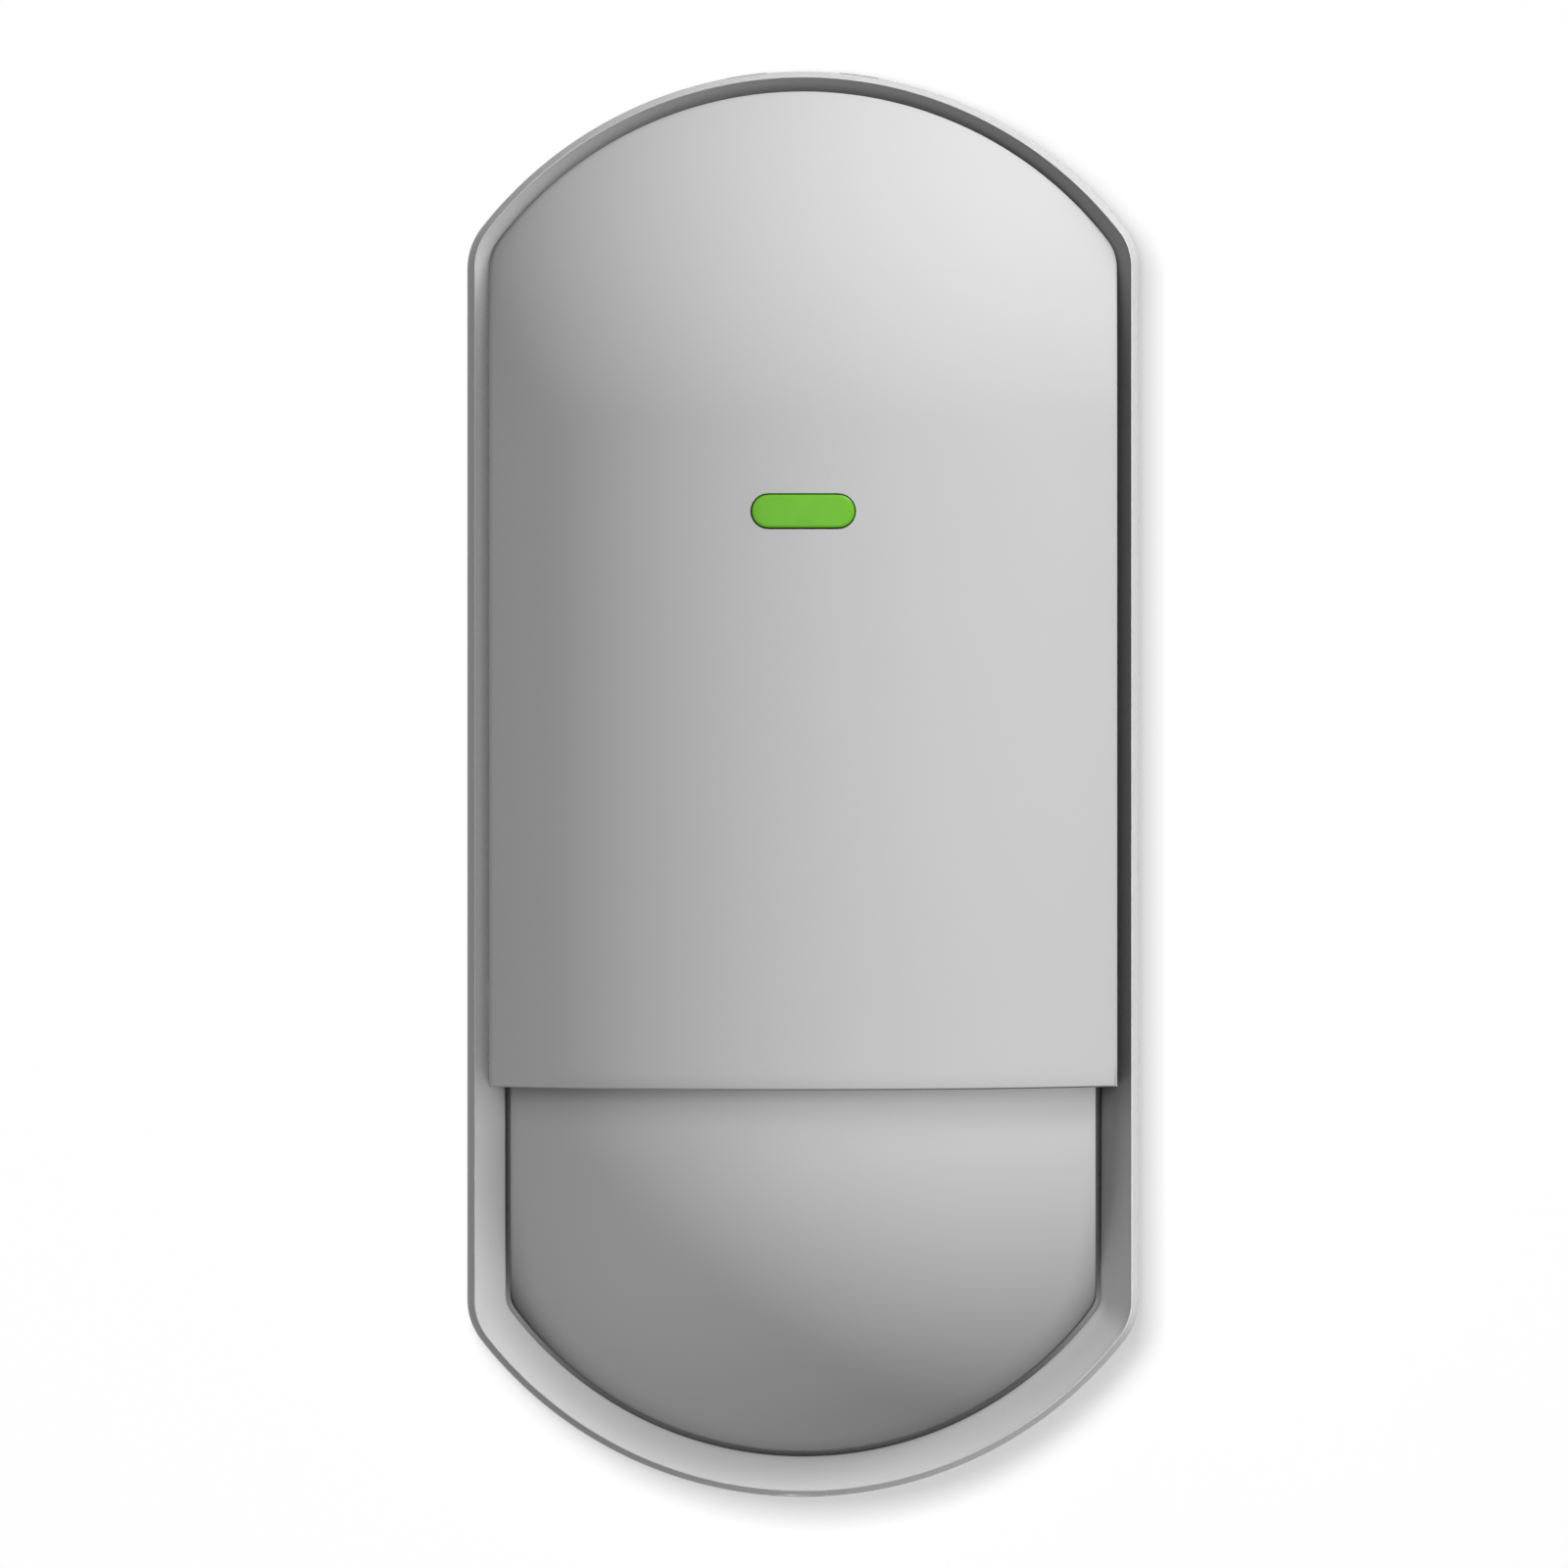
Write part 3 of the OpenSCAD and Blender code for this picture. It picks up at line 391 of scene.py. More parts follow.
def material(name, color, rough=0.45, mottle=0.03, patch=6.0, vary=0.05, grain=0.02, grain_size=0.35,
             metal=0.0, specular=0.5, coat=0.0, painted_hollow_shade=0.5):
    """A moulded or metal finish: its sRGB colour varies by mottle over patches, its roughness by
    vary, and grain is the height of a fine bump. The colour also carries painted shade: it is
    darkened in hollows down to the hollow shade factor and near black in narrow gaps. Sizes
    are in millimetres."""
    made = bpy.data.materials.new(name)
    made.use_nodes = True
    tree = made.node_tree
    coord = node(tree, "TexCoord").outputs["Object"]

    def noise(size, detail):
        return node(tree, "TexNoise", Vector=coord, Scale=1 / (size * MM), Detail=detail).outputs["Fac"]

    base = [linear(c) for c in color]
    tone = node(tree, "Mix")
    tone.data_type = "RGBA"
    feed(tree, tone, A=[c * (1 - mottle) for c in base] + [1],
         B=[min(c * (1 + mottle), 1) for c in base] + [1], Factor=noise(patch, 3))
    # painted shade: the mottled colour is scaled down in hollows and gaps
    colour_with_painted_shade = node(tree, "VectorMath")
    colour_with_painted_shade.operation = "SCALE"
    feed(tree, colour_with_painted_shade, _0=tone.outputs["Result"], Scale=painted_shade_factor(tree, painted_hollow_shade))
    fine = noise(grain_size, 2)
    spread = node(tree, "MapRange", Value=fine, To_Min=rough - vary, To_Max=rough + vary)
    bump = node(tree, "Bump", Strength=1.0, Distance=grain * MM, Height=fine)
    feed(tree, tree.nodes["Principled BSDF"], Base_Color=colour_with_painted_shade.outputs["Vector"], Metallic=metal,
         Roughness=spread.outputs["Result"], Specular_IOR_Level=specular, Coat_Weight=coat,
         Coat_Roughness=0.12, Normal=bump.outputs["Normal"])
    return made


# The housing and the lens take a darker painted shade in their hollows than the other finishes.
MATERIALS = {
    name: material(name, *values, **extra) for name, values, extra in (
        ("housing", ((0.80, 0.80, 0.80), 0.72, 0.012, 9, 0.04, 0.003, 0.4),
         dict(specular=0.15, painted_hollow_shade=0.4)),
        ("back_plastic", ((0.78, 0.78, 0.78), 0.55, 0.015, 8, 0.05, 0.006, 0.4), dict(specular=0.3)),
        ("lens_plastic", ((0.80, 0.80, 0.80), 0.46, 0.01, 9, 0.03, 0.002, 0.5),
         dict(specular=0.15, painted_hollow_shade=0.3)),
        ("light_guide_green", ((0.42, 0.74, 0.13), 0.4, 0.03, 3, 0.05, 0.002, 0.5), dict(specular=0.3)),
        ("black_plastic", ((0.10, 0.10, 0.11), 0.5, 0.1, 2, 0.07, 0.01, 0.25), {}),
        ("white_plastic", ((0.87, 0.87, 0.85), 0.5, 0.02, 2, 0.06, 0.006, 0.3), {}),
        ("red_plastic", ((0.66, 0.11, 0.10), 0.42, 0.05, 2, 0.06, 0.006, 0.3), {}),
        ("blue_plastic", ((0.16, 0.31, 0.58), 0.42, 0.05, 2, 0.06, 0.006, 0.3), {}),
        ("board_green", ((0.08, 0.32, 0.17), 0.35, 0.12, 3, 0.05, 0.006, 0.5), dict(coat=0.2)),
        ("board_blue", ((0.07, 0.18, 0.32), 0.35, 0.12, 2, 0.05, 0.006, 0.5), dict(coat=0.2)),
        ("steel", ((0.70, 0.71, 0.73), 0.32, 0.08, 1, 0.08, 0.004, 0.2), dict(metal=1)),
        ("tin", ((0.78, 0.79, 0.80), 0.3, 0.06, 2, 0.08, 0.004, 0.3), dict(metal=1)),
        ("spring_steel", ((0.75, 0.75, 0.77), 0.28, 0.06, 1, 0.06, 0.002, 0.3), dict(metal=1)),
        ("sensor_metal", ((0.74, 0.71, 0.64), 0.28, 0.05, 2, 0.06, 0.003, 0.3), dict(metal=1)),
        ("filter_glass", ((0.14, 0.12, 0.15), 0.12, 0.1, 2, 0.03, 0.001, 0.5), dict(coat=0.5)),
        ("cell_wrap", ((0.17, 0.30, 0.52), 0.33, 0.06, 4, 0.05, 0.01, 1.2), dict(coat=0.2)),
        ("copper_wire", ((0.80, 0.60, 0.28), 0.3, 0.08, 1, 0.06, 0.003, 0.3), dict(metal=1)),
        ("led_epoxy", ((0.90, 0.92, 0.84), 0.2, 0.03, 1, 0.04, 0.001, 0.3), dict(coat=0.5)),
    )
}
BOARD_TRACK = material("board_track", (0.14, 0.42, 0.24), 0.3, 0.08, 3, 0.05, 0.004, 0.5, coat=0.2)
TAN_CERAMIC = material("tan_ceramic", (0.62, 0.52, 0.40), 0.4, 0.06, 1, 0.06, 0.004, 0.2)

for subpart in frame["record"]["subparts"]:
    mesh = frame["nodes"][subpart["node"]].data
    mesh.materials.clear()
    mesh.materials.append(MATERIALS[subpart["material_slot"]])


def dress(obj, slot, body, *nodes, finish=None):
    """Gives a piece its material, taken from the slot unless a finish is given, puts it in its body and
    hides the CAD nodes that it stands for.
    """
    obj.data.materials.clear()
    obj.data.materials.append(finish or MATERIALS[slot])
    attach(obj, body)
    if nodes:
        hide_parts(*nodes)
    return obj


# ---------------------------------------------------------------- front frame
def front_frame():
    """The flared rim with its two hinge knuckles, the boss of the lock screw and the snaps."""
    section = [(WALL_IN, 13.3), (WALL_IN - 0.15, FRONT_D), (0.15, FRONT_D), (0.0, 13.3), (0.30, 19.5),
               (0.59, 26.1)]                                            # the drafted wall
    section += [(0.61, 26.6), (0.64, 26.82), (0.68, 26.94), (0.73, 26.99), (0.77, CREST_D),
                (0.81, 26.97), (SLOPE_IN, SLOPE_D)]                     # the crest, rounded
    section += [(SLOPE_IN + 0.25 * k, rim(SLOPE_IN + 0.25 * k)) for k in range(1, 11)]
    section += [(OPENING_IN - 0.04, OPENING_D + 0.02), (OPENING_IN, OPENING_D - 0.08),
                (OPENING_IN, FLANGE_D + 0.1), (OPENING_IN - 0.1, FLANGE_D), (WALL_IN, FLANGE_D)]
    frame_band = band("front_frame_shell", section, sunk=True)
    gap = BACK_KNUCKLE + HINGE_ROOM         # half the room for the back's knuckle
    knuckles = []
    for x0, socket in ((-gap - KNUCKLE_L, (-1, KNUCKLE_L - 0.45)), (gap, (-0.01, KNUCKLE_L - 0.45))):
        knuckle = turned("knuckle", [(1.6, 0), (KNUCKLE_R, 0.15), (KNUCKLE_R, KNUCKLE_L - 0.15),
                                     (1.6, KNUCKLE_L)], (x0, HINGE_D, HINGE_Z), "X", 48)
        shape(knuckle, prism("web", box_loop(x0, x0 + KNUCKLE_L, 60.1, 63.7), 13.0, 15.4),
              operation="UNION")
        shape(knuckle, outline_block(0.02), operation="INTERSECT")
        shape(knuckle, rod("socket", SOCKET_R, *((x0 + x, HINGE_D, HINGE_Z) for x in socket)))
        knuckles.append(knuckle)
    shape(frame_band, rod("gap", 2.12, (-gap, HINGE_D, HINGE_Z), (gap, HINGE_D, HINGE_Z), 48))
    shape(frame_band, *knuckles, operation="UNION")
    boss = prism("boss", box_loop(-4, 4, -TOP, -TOP + 3.5, 0.4), FRONT_D, FLANGE_D - 2.8, 0.2)
    shape(boss, outline_block(0.3), operation="INTERSECT")
    shape(frame_band, boss, operation="UNION")
    shape(frame_band, rod("shank", LOCK_HOLE_R, (0, LOCK_D, -65), (0, LOCK_D, -59)),
          rod("sink", LOCK_HEAD_R, (0, LOCK_D, -65), (0, LOCK_D, LOCK_SEAT_Z)))
    for side in (-1, 1):
        for z in SNAPS_Z:
            snap = box_loop(*sorted(side * x for x in SNAPS_X), z - 2, z + 2)
            shape(frame_band, prism("snap", snap, FLANGE_D - 3.3, FLANGE_D - 2.5), operation="UNION")
    return dress(frame_band, "housing", "front", "front_frame")


front = front_frame()


# ---------------------------------------------------------------- cover
def shell(name, inset, edge, r, bend, thick, wall, low_d, flip=False, soft=0.35, hole=None, close=0.6,
          lean=0.0):
    """A domed shell with rounded edges, whose side wall reaches back to the depth low_d. hole is
    (half, r, z) of a slot through it, and lean tilts the straight edge so that it stands lower at
    the crown."""
    base = shell_loop(inset + soft, edge + close * soft, flip)
    if hole:
        heart = stadium(*hole, base)
    else:
        heart = [(0.0, (edge + TOP) / 2 * (-1 if flip else 1))] * len(base)

    def spread(f, loop, r):
        """A ring on the dome, the fraction f of the way from the heart to the loop."""
        ring = [(a + (c - a) * f, b + (e - b) * f) for (a, b), (c, e) in zip(heart, loop)]
        return [(x, dome(x, z, r, bend), z) for x, z in ring]

    rings = [spread((k / 34) ** 0.85, base, r) for k in range(35)]
    for k in range(1, 6):
        a = math.pi / 2 * k / 5
        off = soft * (1 - math.sin(a))
        rings.append([(x, dome(x, z, r, bend) - soft * (1 - math.cos(a)), z)
                      for x, z in shell_loop(inset + off, edge + close * off, flip)])
    inside = shell_loop(inset + wall, edge, flip)
    foot = []
    for x, z in shell_loop(inset, edge, flip):
        straight = abs(z - (-edge if flip else edge)) < 1e-6 and abs(x) < HALF_W - inset - wall
        foot.append((x, dome(x, z, r - thick, bend) if straight else low_d, z))
    rings += [foot, [(u, d, v) for (x, d, z), (u, v) in zip(foot, inside)]]
    rings += [spread((1 - k / 12) ** 0.8, inside, r - thick) for k in range(13)]
    leant = [[(x, d, z + lean * max(0.0, DOME_D + r - d) * max(0.0, 1 - (z - edge) / 12))
              for x, d, z in ring] for ring in rings]
    return loft(name, leant, caps=False, wrap=bool(hole), smooth=38)


def open_band(name, inset, thick, d0, d1, end):
    """A wall that follows the upper end of the outline, from end on the right to end on the left."""
    def run(i):
        half = upper_half(i)
        x = half[0][0]
        return between((x, end), half[0], 20) + half + between(half[-1], (-x, end), 20)[1:] + [(-x, end)]
    loop = run(inset) + run(inset + thick)[::-1]
    n = len(loop)
    verts = [(x, -d, z) for d in (d0, d1) for x, z in loop]
    faces = [(i, (i + 1) % n, n + (i + 1) % n, n + i) for i in range(n)]
    for base in (0, n):
        faces += [(base + i, base + i + 1, base + n - 2 - i, base + n - 1 - i) for i in range(n // 2 - 1)]
    return piece(name, verts, faces)


def front_cover():
    """The domed cover with its spigot, its four hooks and the rib that presses the plunger."""
    dome_shell = shell("cover_shell", COVER_IN, COVER_EDGE, COVER_R, COVER_BEND, COVER_T, SKIRT_T,
                       rim(COVER_IN) + 0.12, hole=(LIGHT_HALF, LIGHT_ROUND + 0.1, LIGHT_Z), lean=COVER_LEAN)
    spigot = open_band("spigot", 3.6, 1.4, FLANGE_D - 2, rim(COVER_IN) + 1.9, -17.8)
    hooks = [prism("hook", box_loop(*sorted(side * x for x in HOOKS_X), z - 3, z + 3, 0.3),
                   FLANGE_D - 1.2, FLANGE_D, 0.15) for side in (-1, 1) for z in HOOKS_Z]
    rib = prism("rib", box_loop(*PLUNGER_RIB), 17.55, rim(COVER_IN) + 1.3)
    return dress(join("cover", dome_shell, spigot, rib, *hooks), "housing", "front", "front_cover")


cover = front_cover()


# ---------------------------------------------------------------- light guide
def light_guide():
    """The green bar, flush with the cover, its foot behind the cover and its pin to the light."""
    around = circle(8, 0, LIGHT_Z, 96)

    def ring(r, d=None, half=LIGHT_HALF, drop=0.0):
        """At depth d, or on the cover's face lowered by drop."""
        return [(x, (dome(x, z, COVER_R, COVER_BEND) if d is None else d) - drop, z)
                for x, z in stadium(half, r, LIGHT_Z, around)]

    rings = [[(0, dome(0, LIGHT_Z, COVER_R, COVER_BEND) - 0.03, LIGHT_Z)] * len(around)]
    rings += [ring(LIGHT_ROUND - 0.25, half=LIGHT_HALF * f, drop=0.03) for f in (0.3, 0.6, 0.8, 1.0)]
    rings += [ring(LIGHT_ROUND - 0.1, drop=0.05), ring(LIGHT_ROUND - 0.02, drop=0.12),
              ring(LIGHT_ROUND, drop=0.25), ring(LIGHT_ROUND, 40.0)]
    rings += [ring(2.4, 40.0), ring(2.4, 38.4), ring(1.6, 38.4, half=0.0)]
    rings += [ring(1.45, 11.5, half=0.0), ring(1.25, 11.3, half=0.0)]
    dress(loft("light_bar", rings, smooth=35), "light_guide_green", "front", "light_guide")


light_guide()


# ---------------------------------------------------------------- lens
def lens():
    """The domed window, which reaches up behind the cover, with its foot behind the rim."""
    window = shell("lens_shell", LENS_IN, -LENS_TOP, LENS_R, LENS_BEND, LENS_T, LENS_T, FLANGE_D,
                   flip=True, soft=0.15, close=0)
    foot_in, foot_to = 2.3, LENS_IN + LENS_T
    foot = band("lens_foot", [(foot_in, FLANGE_D - 1), (foot_in, FLANGE_D), (foot_to, FLANGE_D),
                              (foot_to, FLANGE_D - 1)], sunk=True)
    shape(foot, prism("above", box_loop(-40, 40, LENS_TOP, 80), 0, 50))
    dress(join("lens_window", window, foot), "lens_plastic", "front", "lens")


lens()


# ---------------------------------------------------------------- back box
def back_box():
    """The tray on the wall: lip, board posts, screw bosses, fork for the lock screw and hinge."""
    outer = [(BACK_IN + 0.5 * (1 - math.cos(math.radians(a))), 0.5 * (1 - math.sin(math.radians(a))))
             for a in (90, 67, 45, 22, 0)]
    outer += [(BACK_IN, 12.7), (0.5, BACK_D), (BACK_WALL_IN, BACK_D), (BACK_WALL_IN, 2.4), (2.42, 2.12),
              (2.7, FLOOR_D)]
    tray = loft("back_shell", [[(x, d, z) for x, z in outline(i)] for i, d in outer])
    lip = band("lip", [(LIP_IN, 3.0), (LIP_IN, LIP_D), (2.35, LIP_D), (3.4, LIP_D), (LIP_TO, 16.2),
                       (LIP_TO, 3.0)])
    shape(lip, prism("hinge_room", box_loop(-8.25, 8.25, 0, 80), 9.9, 30),
          prism("fork_room", box_loop(-6.5, 6.5, -80, 0), BACK_D, 30))
    parts = [lip]
    fork = prism("fork", box_loop(-FORK_HALF, FORK_HALF, *FORK_Z, 0.3), FLOOR_D, 18.4, 0.3)
    shape(fork, rod("slot", LOCK_SLOT_R, (0, LOCK_D, -60), (0, LOCK_D, -56)),
          prism("mouth", box_loop(-LOCK_SLOT_R, LOCK_SLOT_R, -60, -56), LOCK_D, 19))
    parts += [fork, prism("fork_foot", box_loop(-FORK_HALF, FORK_HALF, *FORK_FOOT_Z, 0.3), FLOOR_D, 12.7,
                          0.2)]
    parts.append(turned("pin", [(PIN_R - 0.15, 0), (PIN_R, 0.15), (PIN_R, 11.85), (PIN_R - 0.15, 12.0)],
                        (-6, HINGE_D, HINGE_Z), "X", 32))
    for x, z in POSTS:
        post = turned("post", [(3.4, 1.5), (2.75, 2.4), (2.6, 3.2), (2.6, 7.85), (2.45, 8.0)], (x, 0, z))
        parts.append(shape(post, rod("pilot", 1.1, (x, 3.5, z), (x, 9, z))))
    for z in WALL_HOLES_Z:
        boss = turned("boss", [(3.8, 1.5), (3.4, 2.0), (3.3, 2.5), (3.2, 2.6)], (0, 0, z))
        parts.append(shape(boss, rod("bore", WALL_HOLE_R, (0, -1, z), (0, 6, z), 48)))
    knuckle = turned("knuckle", [(1.6, 0), (KNUCKLE_R, 0.15), (KNUCKLE_R, 2 * BACK_KNUCKLE - 0.15),
                                 (1.6, 2 * BACK_KNUCKLE)], (-BACK_KNUCKLE, HINGE_D, HINGE_Z), "X", 48)
    shape(knuckle, outline_block(BACK_IN), operation="INTERSECT")
    for side in (-1, 1):                    # room for the front's knuckles and for its swing
        x0, x1 = sorted((side * BACK_KNUCKLE, side * (BACK_KNUCKLE + 4)))
        shape(tray, rod("room", KNUCKLE_R + HINGE_ROOM, (x0, HINGE_D, HINGE_Z), (x1, HINGE_D, HINGE_Z), 48))
        x0, x1 = sorted((side * 6.95, side * 36.5))
        shape(tray, loft("wedge", [[(x, 14, HINGE_Z), (x, HINGE_D, HINGE_Z), (x, 10.2, 64.7), (x, 14, 64.7)]
                                   for x in (x0, x1)]))
    shape(tray, knuckle, operation="UNION")
    shape(tray, *[rod("hole", WALL_HOLE_R, (0, -1, z), (0, 6, z), 48) for z in WALL_HOLES_Z])
    for x, z in KNOCKOUTS:
        shape(tray, turned("groove", [(2.1, -0.5), (2.1, 1.2), (2.6, 1.2), (2.6, -0.5)], (x, 0, z)))
    dress(join("back_shell_body", tray, *parts), "back_plastic", "base", "back_box")


back_box()


# ---------------------------------------------------------------- CAD nodes that stay: softened edges
def soften(name, width, angle=30):
    """Rounds the sharp edges of a CAD node with modifiers, which leave its own mesh alone."""
    obj = frame["nodes"][name]
    weld = obj.modifiers.new("weld", "WELD")
    weld.merge_threshold = 1e-6
    bevel = obj.modifiers.new("bevel", "BEVEL")
    bevel.width, bevel.segments, bevel.limit_method = width * MM, 2, "ANGLE"
    bevel.angle_limit = math.radians(angle)
    bevel.harden_normals = True


for width, names in ((0.25, ["battery_holder"]), (0.18, ["trimmer_body"]),
                     (0.2, ["radio_shield", "dip_switch", "learn_switch", "tamper_switch", "lens_retainer"]),
                     (0.15, ["learn_button", "tamper_plunger", "capacitor"]),
                     (0.12, ["lock_nut", "sensor_shroud"]), (0.1, ["lock_screw", "board_screws"]),
                     (0.08, ["radio_board", "circuit_board"]), (0.06, ["status_led", "battery_plate"])):
    for name in names:
        soften(name, width)


# ---------------------------------------------------------------- battery cell
def battery_cell():
    """The can with its raised contact, the printed sleeve shrunk round it, its band and washer."""
    low, high = box("battery_cell")
    x0, d, z = low.x, -(low.y + high.y) / 2, (low.z + high.z) / 2
    can = [(0.1, 0.0), (6.9, 0.0), (7.3, 0.06), (7.7, 0.24), (8.1, 0.6), (8.38, 1.1), (8.38, 31.8),
           (8.1, 32.45), (7.7, 32.8), (7.2, 32.94), (6.4, 32.96), (5.9, 32.8), (5.5, 32.74), (3.75, 32.74),
           (3.5, 32.8), (3.36, 33.0), (3.3, 33.3), (3.28, 34.2), (3.2, 34.38), (3.02, 34.5), (0.1, 34.5)]
    dress(turned("cell_can", can, (x0, d, z), "X", 96), "spring_steel", "base", "battery_cell")
    sleeve = [(7.0, 0.0), (7.4, 0.02), (7.8, 0.18), (8.2, 0.52), (8.47, 1.0), (8.49, 1.3), (8.49, 31.5),
              (8.47, 31.9), (8.2, 32.5), (7.8, 32.88), (7.2, 33.0), (6.7, 33.0), (6.7, 32.9), (7.6, 32.7),
              (8.3, 31.7), (8.3, 1.2), (7.6, 0.4), (7.0, 0.1)]
    stripe = [(8.4, 27.4), (CELL_R, 27.45), (CELL_R, 29.15), (8.4, 29.2)]
    washer = [(3.7, 32.7), (3.7, 32.92), (6.3, 32.98), (6.3, 32.7)]
    for name, slot, profile in (("cell_sleeve", "cell_wrap", sleeve), ("cell_band", "white_plastic", stripe),
                                ("cell_washer", "white_plastic", washer)):
        rings = [[(x0 + h, d + u, z + v) for u, v in circle(r, count=96)] for r, h in profile]
        dress(loft(name, rings, caps=False, wrap=True), slot, "base")


battery_cell()


# ---------------------------------------------------------------- what the circuit board carries
CHIP_PITCH, DIP_PITCH, RADIO_PITCH = 0.8, 2.54, 1.27
chip_lo, chip_hi = box("processor")
chip = (chip_lo + chip_hi) / 2
dip_lo, dip_hi = box("dip_switch")
DIP_X = [dip_lo.x + 1.79 + DIP_PITCH * k for k in range(4)]             # the four slide switches
TEST_HOLES = [(9.5 + DIP_PITCH * k, 22.0) for k in range(4)]
PUSH_SWITCHES = [(17.0, -14.0), (17.0, 0.0)]                            # learn and tamper
TABS = [(-14.6, 29.2), (14.6, 29.2)]                                    # where the cell is soldered on


def heap(name, slot, *solids, finish=None):
    """One piece on the base from several solids, each a list of rings."""
    verts, faces = [], []
    for rings in solids:
        more_verts, more_faces = skin(rings, start=len(verts))
        verts += more_verts
        faces += more_faces
    return dress(piece(name, verts, faces, 35), slot, "base", finish=finish)


def on_board(loop, height, sunk=0.0):
    return flat(loop, FACE_D - sunk, FACE_D + height)


def strip(points, w):
    """Outline of a flat run of width w through the points, mitred at its bends."""
    left, right = [], []
    for i, (x, z) in enumerate(points):
        px, pz = points[max(i - 1, 0)]
        nx, nz = points[min(i + 1, len(points) - 1)]
        sides = []
        for ax, az, bx, bz in ((px, pz, x, z), (x, z, nx, nz)):
            size = math.hypot(bx - ax, bz - az)
            if size:
                sides.append((-(bz - az) / size, (bx - ax) / size))
        mx, mz = sum(s[0] for s in sides) / len(sides), sum(s[1] for s in sides) / len(sides)
        k = w / 2 / (mx * mx + mz * mz)
        left.append((x + mx * k, z + mz * k))
        right.append((x - mx * k, z - mz * k))
    return left + right[::-1]


def ring_loop(x, z, r0, r1, count=20):
    """A flat ring as one outline, slit where it starts."""
    a = [2 * math.pi * i / count for i in range(count + 1)]
    return ([(x + r1 * math.cos(t), z + r1 * math.sin(t)) for t in a]
            + [(x + r0 * math.cos(t), z + r0 * math.sin(t)) for t in reversed(a)])


def track_runs():
    """The copper runs that show through the solder mask, as lists of (x, z) points."""
    pins = [(k - 3.5) * CHIP_PITCH for k in range(8)]
    reach = (chip_hi.x - chip_lo.x) / 2 + 0.05
    runs = []
    for k in range(4):          # processor to the four slide switches
        s, t, level = chip.x + pins[k], DIP_X[k], -3.6 - 0.75 * k
        runs.append([(s, chip.z - reach), (s, level + 0.8), (s - 0.8, level), (t + 0.8, level),
                     (t, level - 0.8), (t, dip_hi.z - 0.4)])
    for k in range(4):          # processor to the switches on the right
        s, right, low = chip.z + pins[k] - 0.2, 20.55 + 0.4 * k, -13.0 - 0.8 * k
        runs.append([(chip.x + reach, s), (right - 0.8, s), (right, s - 0.8), (right, low + 0.5),
                     (right - 0.5, low), (19.6, low)])
    for k in range(6):          # processor to the radio module
        s = chip.z + pins[k]
        runs.append([(chip.x - reach, s), (-1.2, s), (-3.0, s + 1.8), (-8.2, s + 1.8)])
    for k in range(4):          # processor to the row of test holes
        s, t, level = chip.x + pins[k + 4], TEST_HOLES[k][0], 18.9 - 0.7 * k
        runs.append([(s, chip.z + reach), (s, level - 0.5), (s + 0.5, level), (t - 0.5, level),
                     (t, level + 0.5), (t, 22.0)])
    for k in range(2):          # processor to the status light
        s, t = chip.x + pins[k], -1.6 + 3.2 * k
        runs.append([(s, chip.z + reach), (s, 18.4 + 0.8 * k), (t, 22.0 + 0.8 * k), (t, 24.2)])
    for k in range(5):          # amplifier to the sensor
        s = -23.6 - 1.2 * k
        runs.append([(9.2, s), (8.2 - 0.5 * k, s), (5.6 - 1.6 * k, s - 2.2), (5.6 - 1.6 * k, -32.0)])
    for k in range(3):          # crystal and trimmer
        s, t = chip.x + pins[k + 5], 4.4 - 1.2 * k
        runs.append([(s, chip.z - reach), (s, -1.5 - 0.7 * k), (t, -7.4 + 1.2 * (k % 2)), (t, -10.6)])
    return runs


def board_copper():
    """Tracks, the rings of vias, test holes and screws, round test pads, and black discs of painted shade in
    the test holes.
    """
    runs = track_runs()
    heap("board_tracks", "board_green", *[on_board(strip(run, 0.28), 0.05, 0.02) for run in runs],
         finish=BOARD_TRACK)
    vias = [run[-1] for run in runs[:8] + runs[14:20]]
    vias += [(-2.6, -8.2), (0.2, -20.3), (-4.1, -18.4), (9.6, -19.2), (12.4, -18.0), (-19.5, -22.0),
             (-17.2, -30.6), (3.4, 20.7), (-3.2, 27.9), (10.2, -8.0), (12.6, -4.6), (-6.9, -33.4),
             (17.6, 20.4)]
    test_pads = [(-20.2, -7.2), (-20.2, -19.6), (-6.6, -21.0), (7.8, -19.0), (19.0, 19.0), (-4.6, 20.4)]
    tin = [on_board(ring_loop(x, z, 0.22, 0.42), 0.06) for x, z in vias]
    tin += [on_board(ring_loop(x, z, 0.5, 0.95, 28), 0.07) for x, z in TEST_HOLES]
    tin += [on_board(ring_loop(x, z, 1.5, 2.75, 36), 0.05) for x, z in POSTS]
    tin += [on_board(circle(0.75, x, z, 24), 0.06) for x, z in test_pads]
    heap("board_pads", "tin", *tin)
    # black discs in the test holes: painted shade that stands in for the holes' dark depth
    heap("test_hole_painted_shade", "black_plastic",
         *[on_board(circle(0.5, x, z, 24), 0.015, 0.02) for x, z in TEST_HOLES])


